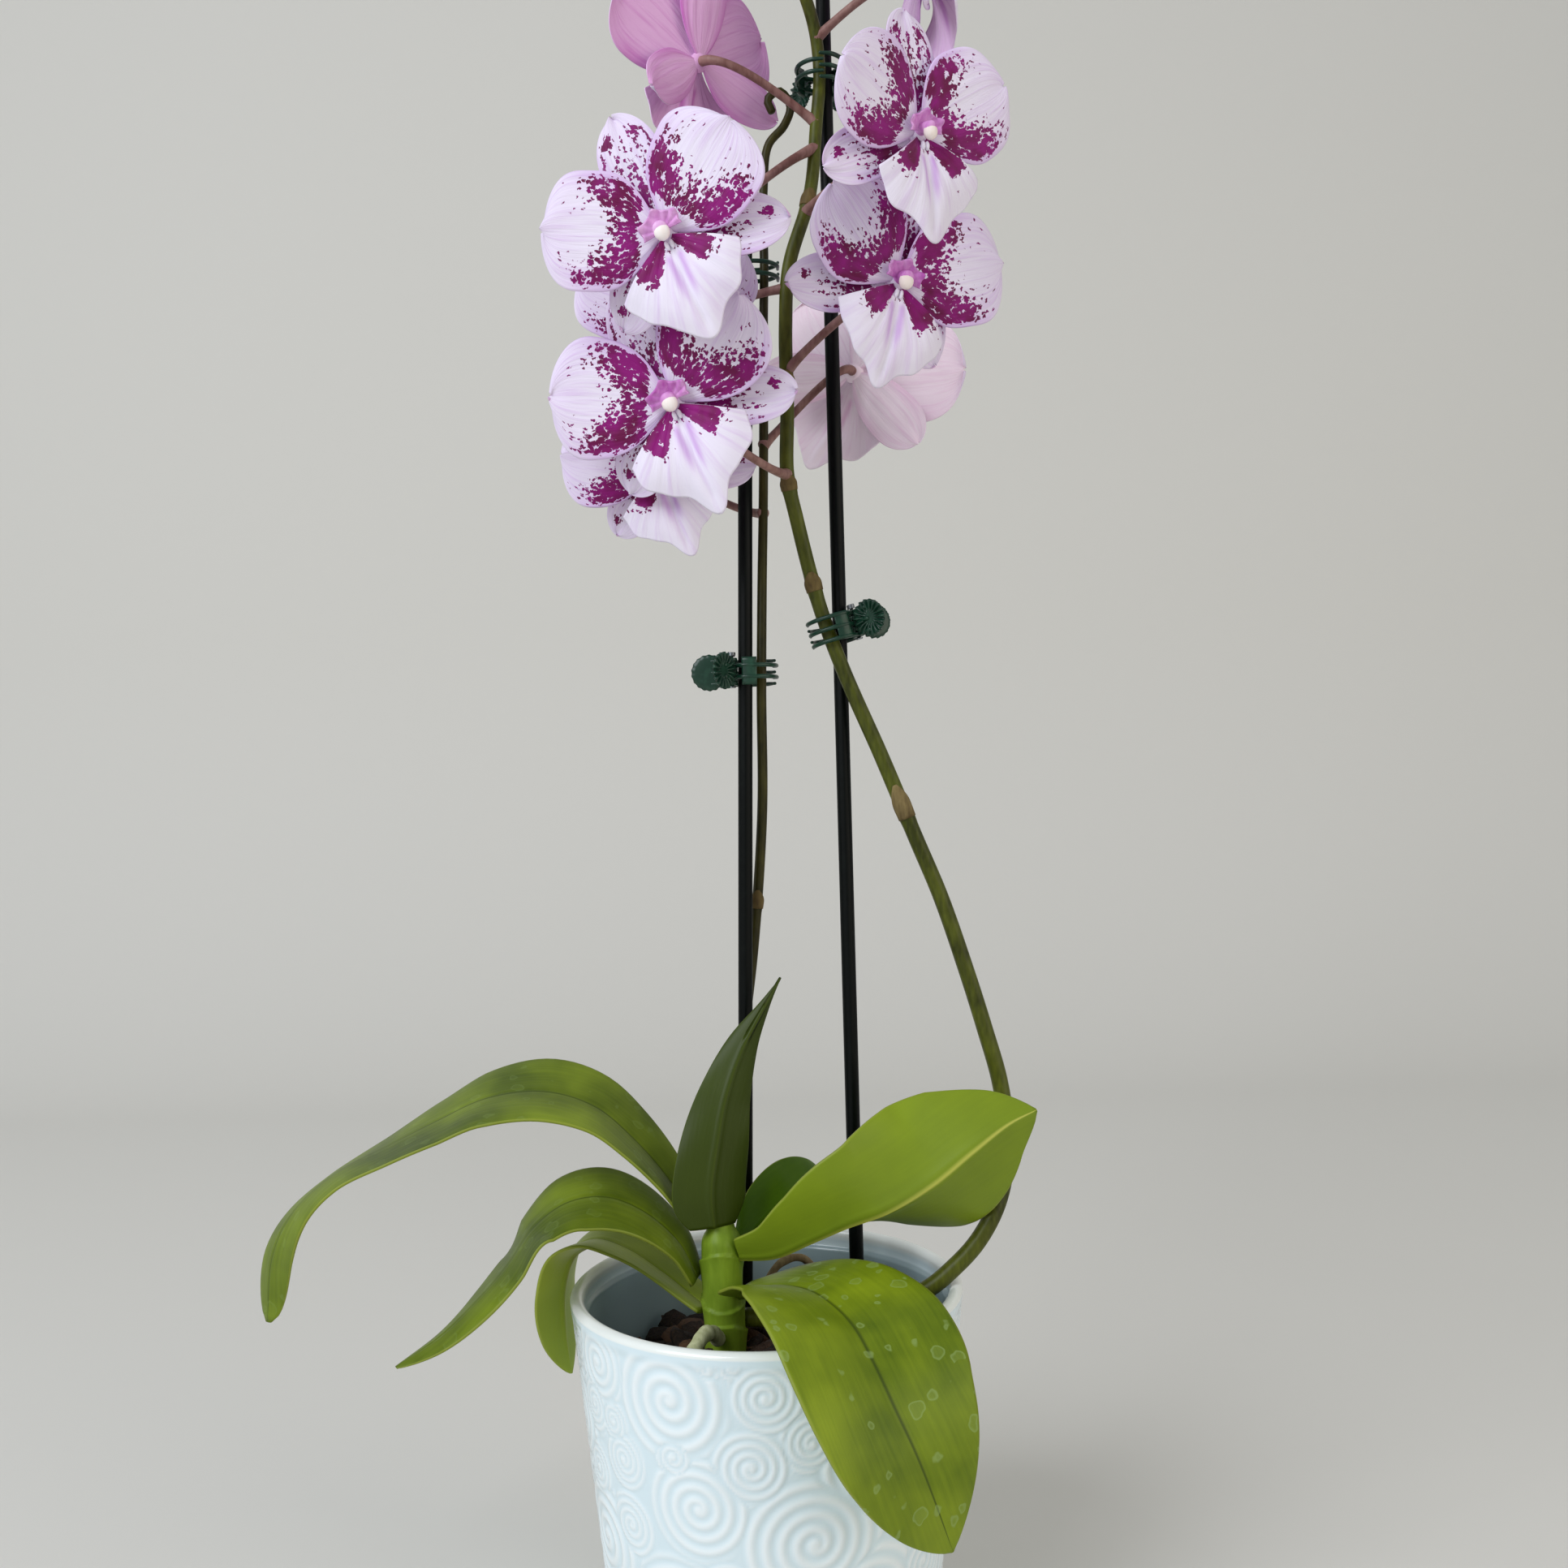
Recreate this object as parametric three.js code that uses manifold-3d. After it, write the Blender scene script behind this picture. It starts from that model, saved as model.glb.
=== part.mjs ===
// A potted moth orchid: a glazed ceramic pot of bark, a short crown with seven thick leaves,
// two flower spikes on two stakes with four sprung claw clips, and nine open blooms.
// Millimetres, +Z up. The origin is the centre of the pot's base; -Y is the side the blooms face.

import * as THREE from "three";
import { mergeVertices } from "three/addons/utils/BufferGeometryUtils.js";
import Module from "manifold-3d";

const wasm = await Module();
wasm.setup();

const GAP = 0.35; // left between pieces that touch

// Pot
const POT_HEIGHT = 130;
const RIM_RADIUS = 70;
const FOOT_RADIUS = 57;
const BASE_RADIUS = 54;
const RIM_BAND = 5; // height of the plain band round the mouth
const WALL = 5;
const FLOOR = 6;
const INNER_STEP_DEPTH = 6.5; // the step inside the mouth, below the rim
const POT_SIDES = 30;

// Bark medium
const MEDIUM_TOP = 110; // at the middle
const MEDIUM_DROP = 16; // how much lower it lies at the wall
const CHIP_COUNT = 15;
const CHIP_SIZE = [17, 9, 6];

// Crown stem, between its hole in the bark and the youngest leaf
const CROWN_FOOT = [-15, -8, 96];
const CROWN_TOP = [-15.5, -8, 153];
const CROWN_RADIUS = 7;

// Leaves
const LEAF_THICKNESS = 2.2;
const LEAF_ROWS = 10;
const LEAF_COLUMNS = 4;

// Stakes, plastic-coated
const STAKE_RADIUS = 2.75;
const STAKE_FOOT = 14;
const STAKES = {
  stake_left: { foot: [-11, 12], top: [2.6, 12, 508] },
  stake_right: { foot: [33, 16], top: [33.4, 16, 640] },
};

// Spikes
const SPIKE_1_RADIUS = [3.3, 2.1];
const SPIKE_2_RADIUS = [2.1, 1.5];
const PEDICEL_RADIUS = 1.5;

// Blooms, at natural size: reach is the span from the centre to the tip
const PETAL = { reach: 41, halfWidth: 20, thickness: 0.8 };
const SEPAL = { reach: 44.5, halfWidth: 11.5, thickness: 0.8 };
const LATERALS = {
  inner: { reach: 41, halfWidth: 10.5, thickness: 0.8, angle: 110, sweep: 3 },
  outer: { reach: 34, halfWidth: 10.5, thickness: 0.8, angle: 122, sweep: 9 },
};
const LIP = { reach: 32.5, point: 7, spread: 57, thickness: 0.8 }; // a fan: spread to each side, degrees
const PETAL_ANGLE = 61; // from the upper sepal
const HUB_RADIUS = 3.6;
const HUB_DEPTH = 2.2;
const COLUMN_LENGTH = 8;

// Claw clips
const CLIP = {
  height: 10,
  hinge: 2, // radius of a knuckle
  pin: 0.6,
  pinHole: 0.95,
  wall: 1.1,
  disc: 6.7,
  discAt: [-6.1, 6.4],
  flare: 30, // how far the discs spread from the jaws' line, in degrees
  belly: { centre: 8.2, long: 9, wide: 8.5 }, // half axes of the ellipse that the jaws follow
  tine: 1.6,
  pitch: 2.1,
};

const COLOURS = {
  ceramic: { color: 0xe4edf1, roughness: 0.12, metalness: 0 },
  bark: { color: 0x3a2a1f, roughness: 0.9, metalness: 0 },
  leaf: { color: 0x5a7d22, roughness: 0.4, metalness: 0 },
  stem: { color: 0x6b7a34, roughness: 0.5, metalness: 0 },
  spike: { color: 0x5f6b2e, roughness: 0.5, metalness: 0 },
  root: { color: 0x9a9a78, roughness: 0.8, metalness: 0 },
  stake: { color: 0x0e1512, roughness: 0.35, metalness: 0 },
  clip: { color: 0x123626, roughness: 0.35, metalness: 0 },
  wire: { color: 0x8a8f94, roughness: 0.3, metalness: 1 },
  petal: { color: 0xead6ee, roughness: 0.6, metalness: 0 },
  lip: { color: 0xc46fb4, roughness: 0.6, metalness: 0 },
  column: { color: 0xf0cfe4, roughness: 0.5, metalness: 0 },
};

const vector = (p) => new THREE.Vector3(...p);
const radians = THREE.MathUtils.degToRad;
const mix = THREE.MathUtils.lerp;

// A repeatable stream of numbers from 0 to 1.
function stream(seed) {
  let state = seed;
  return () => {
    state = (state * 1664525 + 1013904223) % 4294967296;
    return state / 4294967296;
  };
}

// Solids and meshes

function solid(geometry) {
  const bare = geometry.clone();
  for (const name of Object.keys(bare.attributes)) {
    if (name !== "position") bare.deleteAttribute(name);
  }
  const merged = mergeVertices(bare, 1e-3);
  return new wasm.Manifold(
    new wasm.Mesh({
      numProp: 3,
      vertProperties: merged.attributes.position.array,
      triVerts: new Uint32Array(merged.index.array),
    }),
  );
}

function union(geometries) {
  return geometries.map(solid).reduce((whole, piece) => whole.add(piece));
}

function geometryOf(body) {
  const mesh = body.getMesh();
  const geometry = new THREE.BufferGeometry();
  geometry.setAttribute("position", new THREE.BufferAttribute(mesh.vertProperties, 3));
  geometry.setIndex(new THREE.BufferAttribute(mesh.triVerts, 1));
  geometry.computeVertexNormals();
  return geometry;
}

const orchid = new THREE.Group();

function place(name, geometry, colour, parent = orchid) {
  const mesh = new THREE.Mesh(geometry, new THREE.MeshStandardMaterial(COLOURS[colour]));
  mesh.name = name;
  parent.add(mesh);
  return mesh;
}

// A closed blade over surface(u, v), with u from 0 to 1 along it and v from -1 to 1 across it.
// Its points are lifted half the thickness to either side, and both faces are split alike.
function blade(surface, thickness, rows, columns, from = 0, to = 1) {
  const positions = [];
  const index = [];
  const step = 1e-3;
  const count = (rows + 1) * (columns + 1);
  const at = (side, i, j) => side * count + i * (columns + 1) + j;
  for (const side of [0.5, -0.5]) {
    for (let i = 0; i <= rows; i++) {
      for (let j = 0; j <= columns; j++) {
        const u = mix(from, to, i / rows);
        const v = (2 * j) / columns - 1;
        const along = surface(u + step, v).sub(surface(u - step, v));
        const across = surface(u, v + step).sub(surface(u, v - step));
        const normal = along.cross(across).normalize();
        positions.push(...surface(u, v).addScaledVector(normal, side * thickness));
      }
    }
  }
  const quad = (a, b, c, d) => index.push(a, b, c, a, c, d);
  for (let i = 0; i < rows; i++) {
    for (let j = 0; j < columns; j++) {
      quad(at(0, i, j), at(0, i + 1, j), at(0, i + 1, j + 1), at(0, i, j + 1));
      index.push(at(1, i, j), at(1, i + 1, j + 1), at(1, i + 1, j));
      index.push(at(1, i, j), at(1, i, j + 1), at(1, i + 1, j + 1));
    }
  }
  const rim = [];
  for (let j = 0; j < columns; j++) rim.push([0, j]);
  for (let i = 0; i < rows; i++) rim.push([i, columns]);
  for (let j = columns; j > 0; j--) rim.push([rows, j]);
  for (let i = rows; i > 0; i--) rim.push([i, 0]);
  rim.forEach(([i, j], k) => {
    const [m, n] = rim[(k + 1) % rim.length];
    quad(at(0, i, j), at(0, m, n), at(1, m, n), at(1, i, j));
  });
  const geometry = new THREE.BufferGeometry();
  geometry.setAttribute("position", new THREE.Float32BufferAttribute(positions, 3));
  geometry.setIndex(index);
  return geometry;
}

// A closed round stem along a curve, with its radius a function of the share of its length.
function stem(curve, radiusAt, sides, steps) {
  const frames = curve.computeFrenetFrames(steps);
  const positions = [];
  const index = [];
  for (let i = 0; i <= steps; i++) {
    const centre = curve.getPointAt(i / steps);
    for (let k = 0; k < sides; k++) {
      const angle = (2 * Math.PI * k) / sides;
      const point = centre
        .clone()
        .addScaledVector(frames.normals[i], radiusAt(i / steps) * Math.cos(angle))
        .addScaledVector(frames.binormals[i], radiusAt(i / steps) * Math.sin(angle));
      positions.push(...point);
    }
  }
  for (let i = 0; i < steps; i++) {
    for (let k = 0; k < sides; k++) {
      const a = i * sides + k;
      const b = i * sides + ((k + 1) % sides);
      index.push(a, b, b + sides, a, b + sides, a + sides);
    }
  }
  for (let k = 1; k < sides - 1; k++) {
    index.push(0, k + 1, k);
    index.push(steps * sides, steps * sides + k, steps * sides + k + 1);
  }
  const geometry = new THREE.BufferGeometry();
  geometry.setAttribute("position", new THREE.Float32BufferAttribute(positions, 3));
  geometry.setIndex(index);
  return geometry;
}

const circle = (radius, sides) =>
  new THREE.EllipseCurve(0, 0, radius, radius).getPoints(sides).slice(0, sides);

// A tube of one radius along a curve.
function tube(curve, radius, sides, steps) {
  const section = new THREE.Shape(circle(radius, sides));
  return new THREE.ExtrudeGeometry(section, { steps, extrudePath: curve, bevelEnabled: false });
}

const smooth = (points) => new THREE.CatmullRomCurve3(points.map(vector), false, "centripetal");

function placed(geometry, { turn = [0, 0, 0], at = [0, 0, 0], scale = [1, 1, 1] }) {
  const matrix = new THREE.Matrix4().compose(
    vector(at),
    new THREE.Quaternion().setFromEuler(new THREE.Euler(...turn)),
    vector(scale),
  );
  return geometry.clone().applyMatrix4(matrix);
}

// Pot

function potRadius(z) {
  return mix(FOOT_RADIUS, RIM_RADIUS - 0.8, z / (POT_HEIGHT - RIM_BAND));
}

function potProfile() {
  const inner = RIM_RADIUS - WALL;
  const band = POT_HEIGHT - RIM_BAND;
  return [
    [0, 0],
    [BASE_RADIUS, 0],
    [FOOT_RADIUS, 2.5],
    [potRadius(40), 40],
    [potRadius(80), 80],
    [potRadius(band), band],
    [RIM_RADIUS, band + 1],
    [RIM_RADIUS, POT_HEIGHT - 2.2],
    [RIM_RADIUS - 1.2, POT_HEIGHT - 0.6],
    [RIM_RADIUS - 2.4, POT_HEIGHT],
    [inner + 0.7, POT_HEIGHT - 0.9],
    [inner, POT_HEIGHT - 3],
    [inner, POT_HEIGHT - INNER_STEP_DEPTH],
    [inner - 1.2, POT_HEIGHT - INNER_STEP_DEPTH - 1],
    [potRadius(60) - WALL, 60],
    [potRadius(FLOOR + 4) - WALL, FLOOR + 4],
    [potRadius(FLOOR) - WALL - 4, FLOOR],
    [0, FLOOR],
  ].map(([r, z]) => new THREE.Vector2(r, z));
}

place("pot", new THREE.LatheGeometry(potProfile(), POT_SIDES).rotateX(Math.PI / 2), "ceramic");

// Stakes

const stakeCurve = ({ foot, top }) =>
  new THREE.LineCurve3(vector([...foot, STAKE_FOOT]), vector(top));

for (const [name, stake] of Object.entries(STAKES)) {
  place(name, tube(stakeCurve(stake), STAKE_RADIUS, 10, 1), "stake");
}

// Crown stem: old leaf scars ring it as low steps, and it narrows to its tip

const crownCurve = new THREE.LineCurve3(vector(CROWN_FOOT), vector(CROWN_TOP));
const CROWN_STEPS = 12;
const crownRadius = (s) => {
  const step = Math.round(s * CROWN_STEPS);
  const ringed = CROWN_RADIUS + (step % 3 === 0 ? 0.5 : -0.3);
  return s > 0.9 ? ringed * 0.7 : ringed;
};
place("crown_stem", stem(crownCurve, crownRadius, 9, CROWN_STEPS), "stem");

// Roots that show

const ROOTS = {
  root_front: {
    radius: 2.6,
    route: [[-17, -17.6, 116], [-19, -22, 120], [-22, -28, 120.5], [-26, -35, 114], [-28, -39, 96]],
  },
  root_loop: {
    radius: 1.5,
    route: [[-1, 28, 98], [-1, 28, 118], [5, 29, 127], [13, 31, 128], [20, 33, 118], [21, 33, 98]],
  },
};
for (const [name, { radius, route }] of Object.entries(ROOTS)) {
  place(name, tube(smooth(route), radius, 8, 12), "root");
}

// Bark: a body that fills the pot, chips at its top, and a plain hole for what stands in it

const mediumHeight = (distance) => MEDIUM_TOP - MEDIUM_DROP * (distance / RIM_RADIUS) ** 2;

function barkMedium() {
  const fill = (z) => potRadius(z) - WALL - GAP - 1.2;
  const body = new THREE.LatheGeometry(
    [
      [0, FLOOR + GAP],
      [fill(FLOOR) - 5.5, FLOOR + GAP],
      [fill(FLOOR + 5), FLOOR + 5],
      [fill(60), 60],
      [fill(mediumHeight(60)), mediumHeight(60)],
      [45, mediumHeight(45)],
      [25, mediumHeight(25)],
      [0, MEDIUM_TOP],
    ].map(([r, z]) => new THREE.Vector2(r, z)),
    24,
  ).rotateX(Math.PI / 2);
  const random = stream(7);
  const chips = [];
  for (let n = 0; n < CHIP_COUNT; n++) {
    const angle = n * 2.4;
    const distance = 9 + 43 * Math.sqrt((n + 0.5) / CHIP_COUNT);
    const [long, wide, high] = CHIP_SIZE.map((size) => size * mix(0.75, 1.15, random()));
    chips.push(
      placed(new THREE.BoxGeometry(long, wide, high), {
        turn: [mix(-0.4, 0.4, random()), mix(-0.35, 0.35, random()), random() * Math.PI],
        at: [distance * Math.cos(angle), distance * Math.sin(angle), mediumHeight(distance) - 2],
      }),
    );
  }
  let medium = union([body, ...chips]);
  const holes = [
    ...Object.values(STAKES).map((s) => tube(stakeCurve(s), STAKE_RADIUS + GAP, 10, 1)),
    ...Object.values(ROOTS).map(({ radius, route }) => tube(smooth(route), radius + GAP, 8, 12)),
    stem(
      new THREE.LineCurve3(vector([...CROWN_FOOT.slice(0, 2), CROWN_FOOT[2] - GAP]), vector(CROWN_TOP)),
      () => CROWN_RADIUS + 0.5 + GAP,
      10,
      1,
    ),
  ];
  for (const hole of holes) medium = medium.subtract(solid(hole));
  return geometryOf(medium);
}
place("bark_medium", barkMedium(), "bark");

// Leaves. The rib is a smooth curve; across gives the way from the rib to the leaf's first edge at
// its base, middle and tip; fold is how far both halves rise towards the upper face, in degrees.

const LEAVES = {
  leaf_upper_left: {
    rib: [
      [-25, -4, 152], [-35, -3, 168.5], [-47.5, -3, 183.4], [-60, -4, 194.5], [-77, -6, 200.5],
      [-96.7, -8, 199], [-113.6, -10, 192], [-130.2, -13, 184.4], [-149.2, -17, 175.5],
      [-162, -20, 164], [-168.5, -22, 151], [-171, -23, 128],
    ],
    across: [[0.3, 0.9, 0.2], [0.1, 0.94, 0.3], [0, 0.95, 0.25], [-0.3, 0.9, -0.1], [-0.85, 0.5, 0.1]],
    halfWidth: 21,
    widest: 0.4,
    base: 0.3,
    fold: [15, -12],
    taper: 0.5,
  },
  leaf_lower_left: {
    rib: [
      [-25, -9, 134], [-31, -9.5, 147], [-42.9, -12, 159], [-55.3, -15, 165], [-67.5, -19, 164.5],
      [-78, -24, 158], [-86.3, -30, 147], [-96, -35, 137], [-107.7, -39, 127], [-123, -41, 118],
    ],
    across: [[0.2, 0.9, 0.2], [0.1, 0.93, 0.3], [0, 0.93, 0.33], [-0.2, 0.95, 0.12], [-0.25, 0.92, 0.12]],
    halfWidth: 17,
    widest: 0.4,
    base: 0.35,
    fold: [8, -12],
  },
  leaf_over_rim: {
    rib: [
      [-21.6, -2.9, 121], [-37, 7.5, 130], [-52, 14, 138], [-63, 17, 140.5], [-72, 19, 136],
      [-76.5, 19, 124], [-76.5, 18, 108], [-73.5, 17, 92],
    ],
    across: [[0.4, 0.9, 0.1], [0.3, 0.95, 0], [0.37, 0.93, 0]],
    halfWidth: 16,
    widest: 0.72,
    base: 0.4,
    fold: [15, 5],
  },
  leaf_upright: {
    rib: [
      [-17.8, -13, 153.3], [-18.5, -13.3, 166], [-16, -11, 182], [-12.5, -8, 198], [-6, -4, 215],
      [1.5, -1, 228], [8, 2, 238.5],
    ],
    across: [[-0.93, -0.3, 0], [-0.9, -0.2, 0], [-0.6, -0.1, 0.6]],
    halfWidth: 13.5,
    widest: 0.12,
    base: 0.6,
    fold: [8, 30],
    taper: 1.2,
  },
  leaf_back_right: {
    rib: [[-9, 0, 142], [1, 5.5, 151], [10, 12, 156.5], [18, 20, 158.5], [26, 28, 154]],
    across: [[0.5, -0.5, -0.3], [0.4, -0.4, -0.8], [0.5, -0.5, -0.6]],
    halfWidth: 14,
    widest: 0.5,
    base: 0.24,
    fold: [20, 8],
  },
  leaf_big_right: {
    rib: [
      [-9, -11.6, 143], [3.5, -15.5, 144.5], [16, -18, 150], [29, -21, 156], [42, -24, 161],
      [58, -25, 170], [72, -23, 180], [85, -19, 188], [96, -15, 192],
    ],
    across: [[-0.3, -0.8, 0.5], [-0.38, -0.73, 0.63], [-0.4, -0.1, 0.9], [-0.35, 0.25, 0.9]],
    halfWidth: 30,
    widest: 0.62,
    base: 0.255,
    fold: [30, 26],
  },
  leaf_front: {
    rib: [
      [-10, -13.5, 130], [2, -23.5, 135], [13, -36, 138], [21, -51, 138.5], [28.5, -65, 135],
      [34, -75, 127], [39.5, -81, 116], [45, -83, 104], [50.5, -82, 89], [56.5, -77, 70],
    ],
    across: [[-0.75, -0.6, 0], [-0.8, -0.55, 0], [-0.7, -0.45, -0.25]],
    halfWidth: 32.5,
    widest: 0.52,
    base: 0.3,
    fold: [15, 3],
  },
};

// Half the width at u, as a share: it rises on a sine to the widest place, then rounds off to the tip.
function leafShare(u, { widest, base, taper = 0.75 }) {
  if (u < widest) return mix(base, 1, Math.sin((Math.PI / 2) * (u / widest)));
  return Math.cos((Math.PI / 2) * ((u - widest) / (1 - widest))) ** taper;
}

function leafSurface(leaf) {
  const curve = smooth(leaf.rib);
  const sides = new THREE.CatmullRomCurve3(leaf.across.map(vector));
  return (u, v) => {
    const s = THREE.MathUtils.clamp(u, 0, 1);
    const along = curve.getTangentAt(s);
    const across = sides.getPoint(s);
    across.addScaledVector(along, -across.dot(along)).normalize();
    const up = across.clone().cross(along).normalize();
    const fold = radians(mix(...leaf.fold, s));
    const width = leaf.halfWidth * leafShare(s, leaf);
    return curve
      .getPointAt(s)
      .addScaledVector(across, v * width * Math.cos(fold))
      .addScaledVector(up, Math.abs(v) * width * Math.sin(fold));
  };
}

for (const [name, leaf] of Object.entries(LEAVES)) {
  place(name, blade(leafSurface(leaf), LEAF_THICKNESS, LEAF_ROWS, LEAF_COLUMNS, 0.002, 0.985), "leaf");
}

// Blooms, in a frame of their own: +Z is the way they face and +Y is their upper sepal

// Half-width shares from the centre, u = 0, to the tip, u = 1.
const tepalShare = {
  petal: (u) =>
    Math.sqrt(Math.max(0, 1 - Math.abs(2 * u ** 1.35 - 1) ** 2.6)) * (1 - 0.6 * Math.exp(-u / 0.12)),
  sepal: (u) =>
    Math.sqrt(Math.max(0, 1 - Math.abs(2 * u ** 1.05 - 1) ** 2.3)) * (1 - 0.55 * Math.exp(-u / 0.2)),
};

// How far a tepal stands forward: petals cup forward in front of the sepals, and the two lateral
// sepals sweep back.
const tepalLift = {
  petal: (u, v) => 0.5 + 8 * u - 2 * u * u - 1.5 * v * v * u,
  sepal: (u, v, sweep = 4.5) => -1.5 - sweep * u * u + 1.2 * v * v * Math.sin(Math.PI * u),
};

function tepal(kind, { reach, halfWidth, thickness, sweep }, start, turn, rows, columns) {
  const surface = (u, v) =>
    new THREE.Vector3(
      v * halfWidth * tepalShare[kind](THREE.MathUtils.clamp(u, 1e-3, 1 - 1e-3)),
      start + (reach - start) * u,
      tepalLift[kind](u, v, sweep),
    );
  return placed(blade(surface, thickness, rows, columns, 0.03, 0.985), {
    turn: [0, 0, radians(turn)],
  });
}

function perianth(inner) {
  const { inner: longer, outer: shorter } = LATERALS;
  const hub = placed(new THREE.IcosahedronGeometry(1, 0), {
    scale: [HUB_RADIUS, HUB_RADIUS, HUB_DEPTH],
    at: [0, 0, -0.5],
  });
  return geometryOf(
    union([
      hub,
      tepal("sepal", SEPAL, 1, 0, 4, 2),
      tepal("sepal", longer, 1, -inner * longer.angle, 4, 2),
      tepal("sepal", shorter, 1, inner * shorter.angle, 4, 2),
      ...[1, -1].map((side) => tepal("petal", PETAL, 1, side * PETAL_ANGLE, 5, 4)),
    ]),
  );
}

// The lip: a broad fan that arches forward, with a short point at its middle.
function lip() {
  const surface = (u, v) => {
    const angle = v * LIP.spread;
    const edge = LIP.reach * (1 - 0.26 * (angle / 65) ** 2) + LIP.point * Math.exp(-((angle / 9) ** 2));
    const out = mix(1.5, edge, u);
    return new THREE.Vector3(
      -out * Math.sin(radians(angle)),
      -out * Math.cos(radians(angle)),
      1.1 + 6.5 * Math.sin(2.4 * u) - v * v * u,
    );
  };
  return geometryOf(solid(blade(surface, LIP.thickness, 3, 6, 0.06, 1)));
}

// The column: a short stub that leans down a little and ends in a round anther cap.
function column() {
  const curve = new THREE.QuadraticBezierCurve3(
    new THREE.Vector3(0, 1.2, HUB_DEPTH - 0.5 + GAP + 0.1),
    new THREE.Vector3(0, 1.4, 5),
    new THREE.Vector3(0, -0.4, COLUMN_LENGTH + 1.5),
  );
  const radii = [2, 2, 2.6, 1.5];
  return stem(curve, (s) => radii[Math.round(s * 3)], 6, 3);
}

// Each bloom's hub, the way it faces and its roll, in degrees. inner is the side of its longer lateral
// sepal, 1 for its left and -1 for its right. Its pedicel leaves a spike at a share of that one's
// length, and by may give a point that keeps it clear of a stake or another bloom.
const BLOOMS = {
  a: {
    at: [-21.5, -58, 484.5], yaw: -10, pitch: -6, roll: 24, size: 0.96, inner: 1,
    spike: 1, from: 0.811,
  },
  b: {
    at: [-22, -36, 436], yaw: -10, pitch: -6, roll: 23, size: 1, inner: 1,
    spike: 1, from: 0.619, by: [10, -27, 412],
  },
  c: {
    at: [60, -54, 515.5], yaw: 33, pitch: -4, roll: 4, size: 0.9, inner: -1,
    spike: 1, from: 0.77,
  },
  d: {
    at: [54, -28, 476.5], yaw: 26, pitch: -6, roll: -15, size: 0.96, inner: -1,
    spike: 1, from: 0.677,
  },
  e: {
    at: [-12.5, 6, 568], yaw: -140, pitch: 8, roll: 0, size: 0.9, inner: -1,
    spike: 1, from: 0.827,
  },
  f: {
    at: [-29.5, -11, 419.5], yaw: -4, pitch: -4, roll: 20, size: 0.82, inner: 1,
    spike: 2, from: 0.627, by: [0, 31, 408],
  },
  g: {
    at: [42, 32, 461.5], yaw: 160, pitch: -8, roll: 30, size: 1, inner: -1,
    spike: 2, from: 0.682, by: [15, 25, 441],
  },
  h: {
    at: [-23.5, -20.8, 470], yaw: -8, pitch: -2, roll: 5, size: 0.8, inner: 1,
    spike: 1, from: 0.724, by: [6, 6, 486],
  },
  i: {
    at: [68.5, -2, 593], yaw: 100, pitch: 6, roll: 0, size: 0.9, inner: 1,
    spike: 1, from: 0.877,
  },
};

function facing({ yaw, pitch }) {
  const [turn, rise] = [radians(yaw), radians(pitch)];
  return new THREE.Vector3(
    Math.sin(turn) * Math.cos(rise),
    -Math.cos(turn) * Math.cos(rise),
    Math.sin(rise),
  );
}

function bloomMatrix(bloom) {
  const front = facing(bloom);
  const right = new THREE.Vector3(0, 0, 1).cross(front).normalize();
  const up = front.clone().cross(right);
  return new THREE.Matrix4()
    .makeBasis(right, up, front)
    .setPosition(vector(bloom.at))
    .multiply(new THREE.Matrix4().makeRotationZ(radians(bloom.roll)))
    .scale(vector([bloom.size, bloom.size, bloom.size]));
}

for (const [letter, bloom] of Object.entries(BLOOMS)) {
  const group = new THREE.Group();
  group.applyMatrix4(bloomMatrix(bloom));
  place(`bloom_${letter}`, perianth(bloom.inner), "petal", group);
  place(`bloom_${letter}_lip`, lip(), "lip", group);
  place(`bloom_${letter}_column`, column(), "column", group);
  orchid.add(group);
}

// Spikes

const SPIKE_ROUTES = {
  1: [
    [-7.2, -5, 119], [12, -4, 117.5], [36, -7, 120], [56, -9, 128], [66.5, -9, 136],
    [75, -8, 144.5], [82.5, -4, 155.5], [87, 3, 167], [88.5, 9, 181], [87, 12, 197],
    [82, 12, 216.5], [75.7, 12, 238.5], [67.2, 11, 265], [58.5, 10, 287], [46.8, 9.5, 317],
    [34.1, 9.8, 348], [25.9, 9.8, 372], [18.3, 7, 404], [15.5, 4, 418.5], [16.1, 2, 441.6],
    [16.3, 0, 471], [18.1, 0, 492], [26.3, 3, 518.5], [29.4, 8, 545], [31.2, 10.2, 566],
    [29, 7, 583], [20, 0, 604], [8, -8, 622], [-6, -18, 637],
  ],
  2: [
    [-14.5, 1.8, 128], [-15, 9, 150], [-12, 17.5, 185], [-5.5, 19, 222], [-1.5, 19, 250],
    [2.9, 17.5, 298], [3.9, 14, 342], [5.2, 13.5, 380], [6.5, 14, 411], [7.4, 14, 438],
    [8.4, 14, 475], [9.2, 14, 496], [9.8, 14, 525], [12, 14, 541], [18, 14, 548],
    [20.4, 14, 555], [16.5, 14, 560.5], [12.2, 14, 557.5], [13.6, 14, 553.2],
  ],
};
const SPIKES = {
  1: { name: "spike_1", radius: SPIKE_1_RADIUS, steps: 44, nodes: [0.409, 0.552, 0.612, 0.67, 0.776] },
  2: { name: "spike_2", radius: SPIKE_2_RADIUS, steps: 44, nodes: [0.308] },
};

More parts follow.
